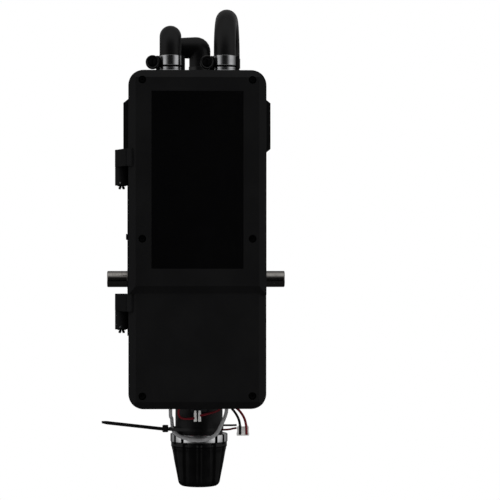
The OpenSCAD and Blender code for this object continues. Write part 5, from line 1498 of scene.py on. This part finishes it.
# %% Small cans, fuse and lamps
cans = [turned([(0, -h), (r * 0.8, -h), (r * 0.96, -h + 0.3), (r, -h + 0.9), (r, -2.0),
                (r * 0.9, -1.6), (r, -1.2), (r, 0), (0, 0)], (x, BOARD_Y, z), "y", 28)
        for x, z, r, h in ((-66, 62, 3.1, 8), (-57, 62, 3.1, 8), (2, 54, 4.0, 9),
                           (70, 64, 3.0, 7), (-67, 132, 2.5, 6))]
piece("small_cans", cans, BRIGHT_ALLOY)
fuse = turned([(0, 0), (2.5, 0), (2.6, 0.3), (2.6, 4.6), (2.3, 4.8), (2.3, 15.2), (2.6, 15.4),
               (2.6, 19.7), (2.5, 20), (0, 20)], (50, BOARD_Y - 4.2, 2), "x", 24)
piece("board_fuse", [fuse], BUTTON_WHITE)
piece("board_fuse_clips", [block((x, BOARD_Y - 4.6, -1.0), (x + 3.2, BOARD_Y, 5.0), 1, 0.5, 0.3)
                           for x in (51, 65.6)], ZINC)
lamp = turned([(0, -3.6), (0.7, -3.4), (1.2, -2.9), (1.5, -2.2), (1.5, -0.6), (1.8, -0.5),
               (1.8, 0), (0, 0)], (0, 0, 0), "y", 20)
lamps = copies(lamp, on_board([(70, z) for z in (74, 81.5, 89, 96.5, 104)]))
piece("status_lamps", lamps[:3], TERMINAL_GREEN)
piece("fault_lamps", lamps[3:], BUTTON_RED)

# %% [markdown]
# The big parts get what makes each of them readable: slotted clamp screws in the
# terminal strip, cases with a foot seam for the relays, sleeves that stop short of the
# crimped metal top on the two large capacitors, a bezel round the display and dished
# caps on the three buttons, which ride on their own bodies and press in with them.

# %% Strip and board screws, relays and capacitors
piece("strip_screws", [slot_head((-49 + 10 * k, -210.4, -11.7), "y", -1, 2.3, 1.2)
                       for k in range(10)], ZINC)
piece("board_screws", [slot_head((x, -201.0, z), "y", -1, 2.7, 1.3) for x, z in BOARD_HOLES],
      ZINC)

relay_cases = []
for x in (-60, -30, 0):
    relay_cases += [block((x + 0.6, -216.6, 13.8), (x + 25.4, -201.4, 42.6), 1, 1.4, 0.9),
                    block((x, -201.6, 13.2), (x + 26, BOARD_Y, 43.2), 1, 1.0, 0.3),
                    turned([(0, 0), (1.1, 0), (1.4, -0.25), (1.4, -0.5), (0, -0.5)],
                           (x + 21.5, -216.4, 39), "y", 20)]
piece("relay_cases", relay_cases, DARK_MOULDING, "relays")

CAPACITORS = on_board([(39, 29), (60, 29)])
SLEEVE_ROWS = [(6.6, -20.8), (7.4, -21.3), (7.9, -21.0), (8.0, -20.4), (8.0, -3.2), (7.6, -2.7),
               (7.5, -2.3), (7.7, -1.9), (8.0, -1.4), (8.0, 0), (0, 0), (0, -20.8)]
TOP_ROWS = [(0, -21.2), (6.3, -21.2), (6.5, -21.0), (6.5, -20.6), (0, -20.6)]
piece("capacitor_sleeves", [turned(SLEEVE_ROWS, p, "y", 44) for p in CAPACITORS], SLEEVE_BLUE,
      "capacitors")
piece("capacitor_tops", [turned(TOP_ROWS, p, "y", 44) for p in CAPACITORS], BRIGHT_ALLOY)

# %% Display bezel, and dished button caps on their own bodies
BEZEL_ROWS = [(-2.4, -208.6), (-1.8, -208.9), (-0.4, -208.9), (0.2, -208.4), (0.2, -203.0),
              (-2.4, -203.0)]
u, v = outline(33, 16, 2.0, 5).T
bezel = [points(-27 + u * (1 + i / 33), y, 155.8 + v * (1 + i / 16)) for i, y in BEZEL_ROWS]
piece("display_bezel", [skin(bezel, loop=True)], DARK_MOULDING)

DISH = [(0, -208.7), (1.6, -208.75), (3.2, -208.95), (4.3, -209.35), (4.8, -209.6), (5.2, -209.5),
        (5.5, -209.1), (5.5, -201.4), (0, -201.4)]
for name, x, colour, slot_name in (("open_button", 22.5, BUTTON_WHITE, "white_plastic"),
                                   ("close_button", 39.0, BUTTON_WHITE, "white_plastic"),
                                   ("stop_button", 55.5, BUTTON_RED, "red_plastic")):
    piece(name + "_cap", [turned(DISH, (x, 0, 157.84), "y", 40)], colour, name, name)

# %% [markdown]
# ## Battery and grommets
# The back-up battery is two blocks of cells in shrink film. Film draws in over the
# ends of a block, so the outline of each ring shrinks towards the ends along a quarter
# circle, and it dips a little between one row of round cells and the next, which is
# what a plain box lacks. The tin strap over it is held by two screws. Each grommet is
# one closed profile turned about its hole: a lip inside the tray, a lip outside.

# %% Film-wrapped cells and strap screws
def wrapped_cells(low, high, rows, round_end=5.0, dip=0.55, corner=5.5):
    """Rounded outline from low to high along z. Half sizes = full size - round_end x
    (1 - sqrt(1 - q^2)) near the ends, q from 0 to 1, and - dip x (1 - |sin(rows pi t)|)^2
    at the height share t, where the film sinks between two rows of cells."""
    low, high = np.array(low, float), np.array(high, float)
    middle, half = (low + high) / 2, (high - low) / 2
    t = np.concatenate([np.linspace(0, 0.07, 8), np.linspace(0.09, 0.91, 64),
                        np.linspace(0.93, 1, 8)])
    away = np.clip(1 - np.minimum(t, 1 - t) * (high[2] - low[2]) / round_end, 0, 0.985)
    sunk = dip * (1 - np.abs(np.sin(rows * np.pi * t))) ** 2
    inset = round_end * (1 - np.sqrt(1 - away**2)) + sunk
    shape = outline(half[0] - corner, half[1] - corner, 0.01, 18)
    way = np.concatenate([np.linspace(0, np.pi / 2, 18) + k * np.pi / 2 for k in range(4)])
    ring = arc(shape, (corner - inset)[:, None, None], way)
    return skin(lifted(zip(ring + middle[:2], low[2] + (high[2] - low[2]) * t)))


cells = [wrapped_cells((x0, -225, -152.5), (x0 + 64.6, -187.2, -68.5), 5) for x0 in (-65, 0.4)]
piece("battery_cells", cells, SLEEVE_BLUE, "battery_pack", crease=60)
piece("strap_screws", [slot_head((x, -189.0, -110.5), "y", -1, 3.4, 2.0) for x in (-75, 75)],
      ZINC)


# %% Grommets
def grommet(r, hole):
    """Closed profile from the axis: a round lip inside the tray, a neck through the
    wall, a round lip outside, and the rim of the hole."""
    inside, outside = ([*arc((r, z), (1.1, -0.9), np.linspace(-np.pi / 2, np.pi / 2, 7))]
                       for z in (-183.6, -188.3))
    return ([(0, -182.9), (hole * 0.8, -182.2)] + inside + [(r, -185.0), (r, -187.0)] + outside
            + [(hole + 0.3, -189.1), (hole, -188.6), (hole, -187.6), (0, -187.6)])


piece("cable_grommets", [turned(grommet(r, hole), (x, y, 0), "z", 32) for x, y, r, hole in (
    (-40, -200, 5, 3.0), (45, -203, 5, 3.0), (-24, -200, 3, 1.8), (34, -200, 3, 1.8),
    (54, -194, 6, 4.8))], SEAL_RUBBER, "grommets")

# %% [markdown]
# ## The end
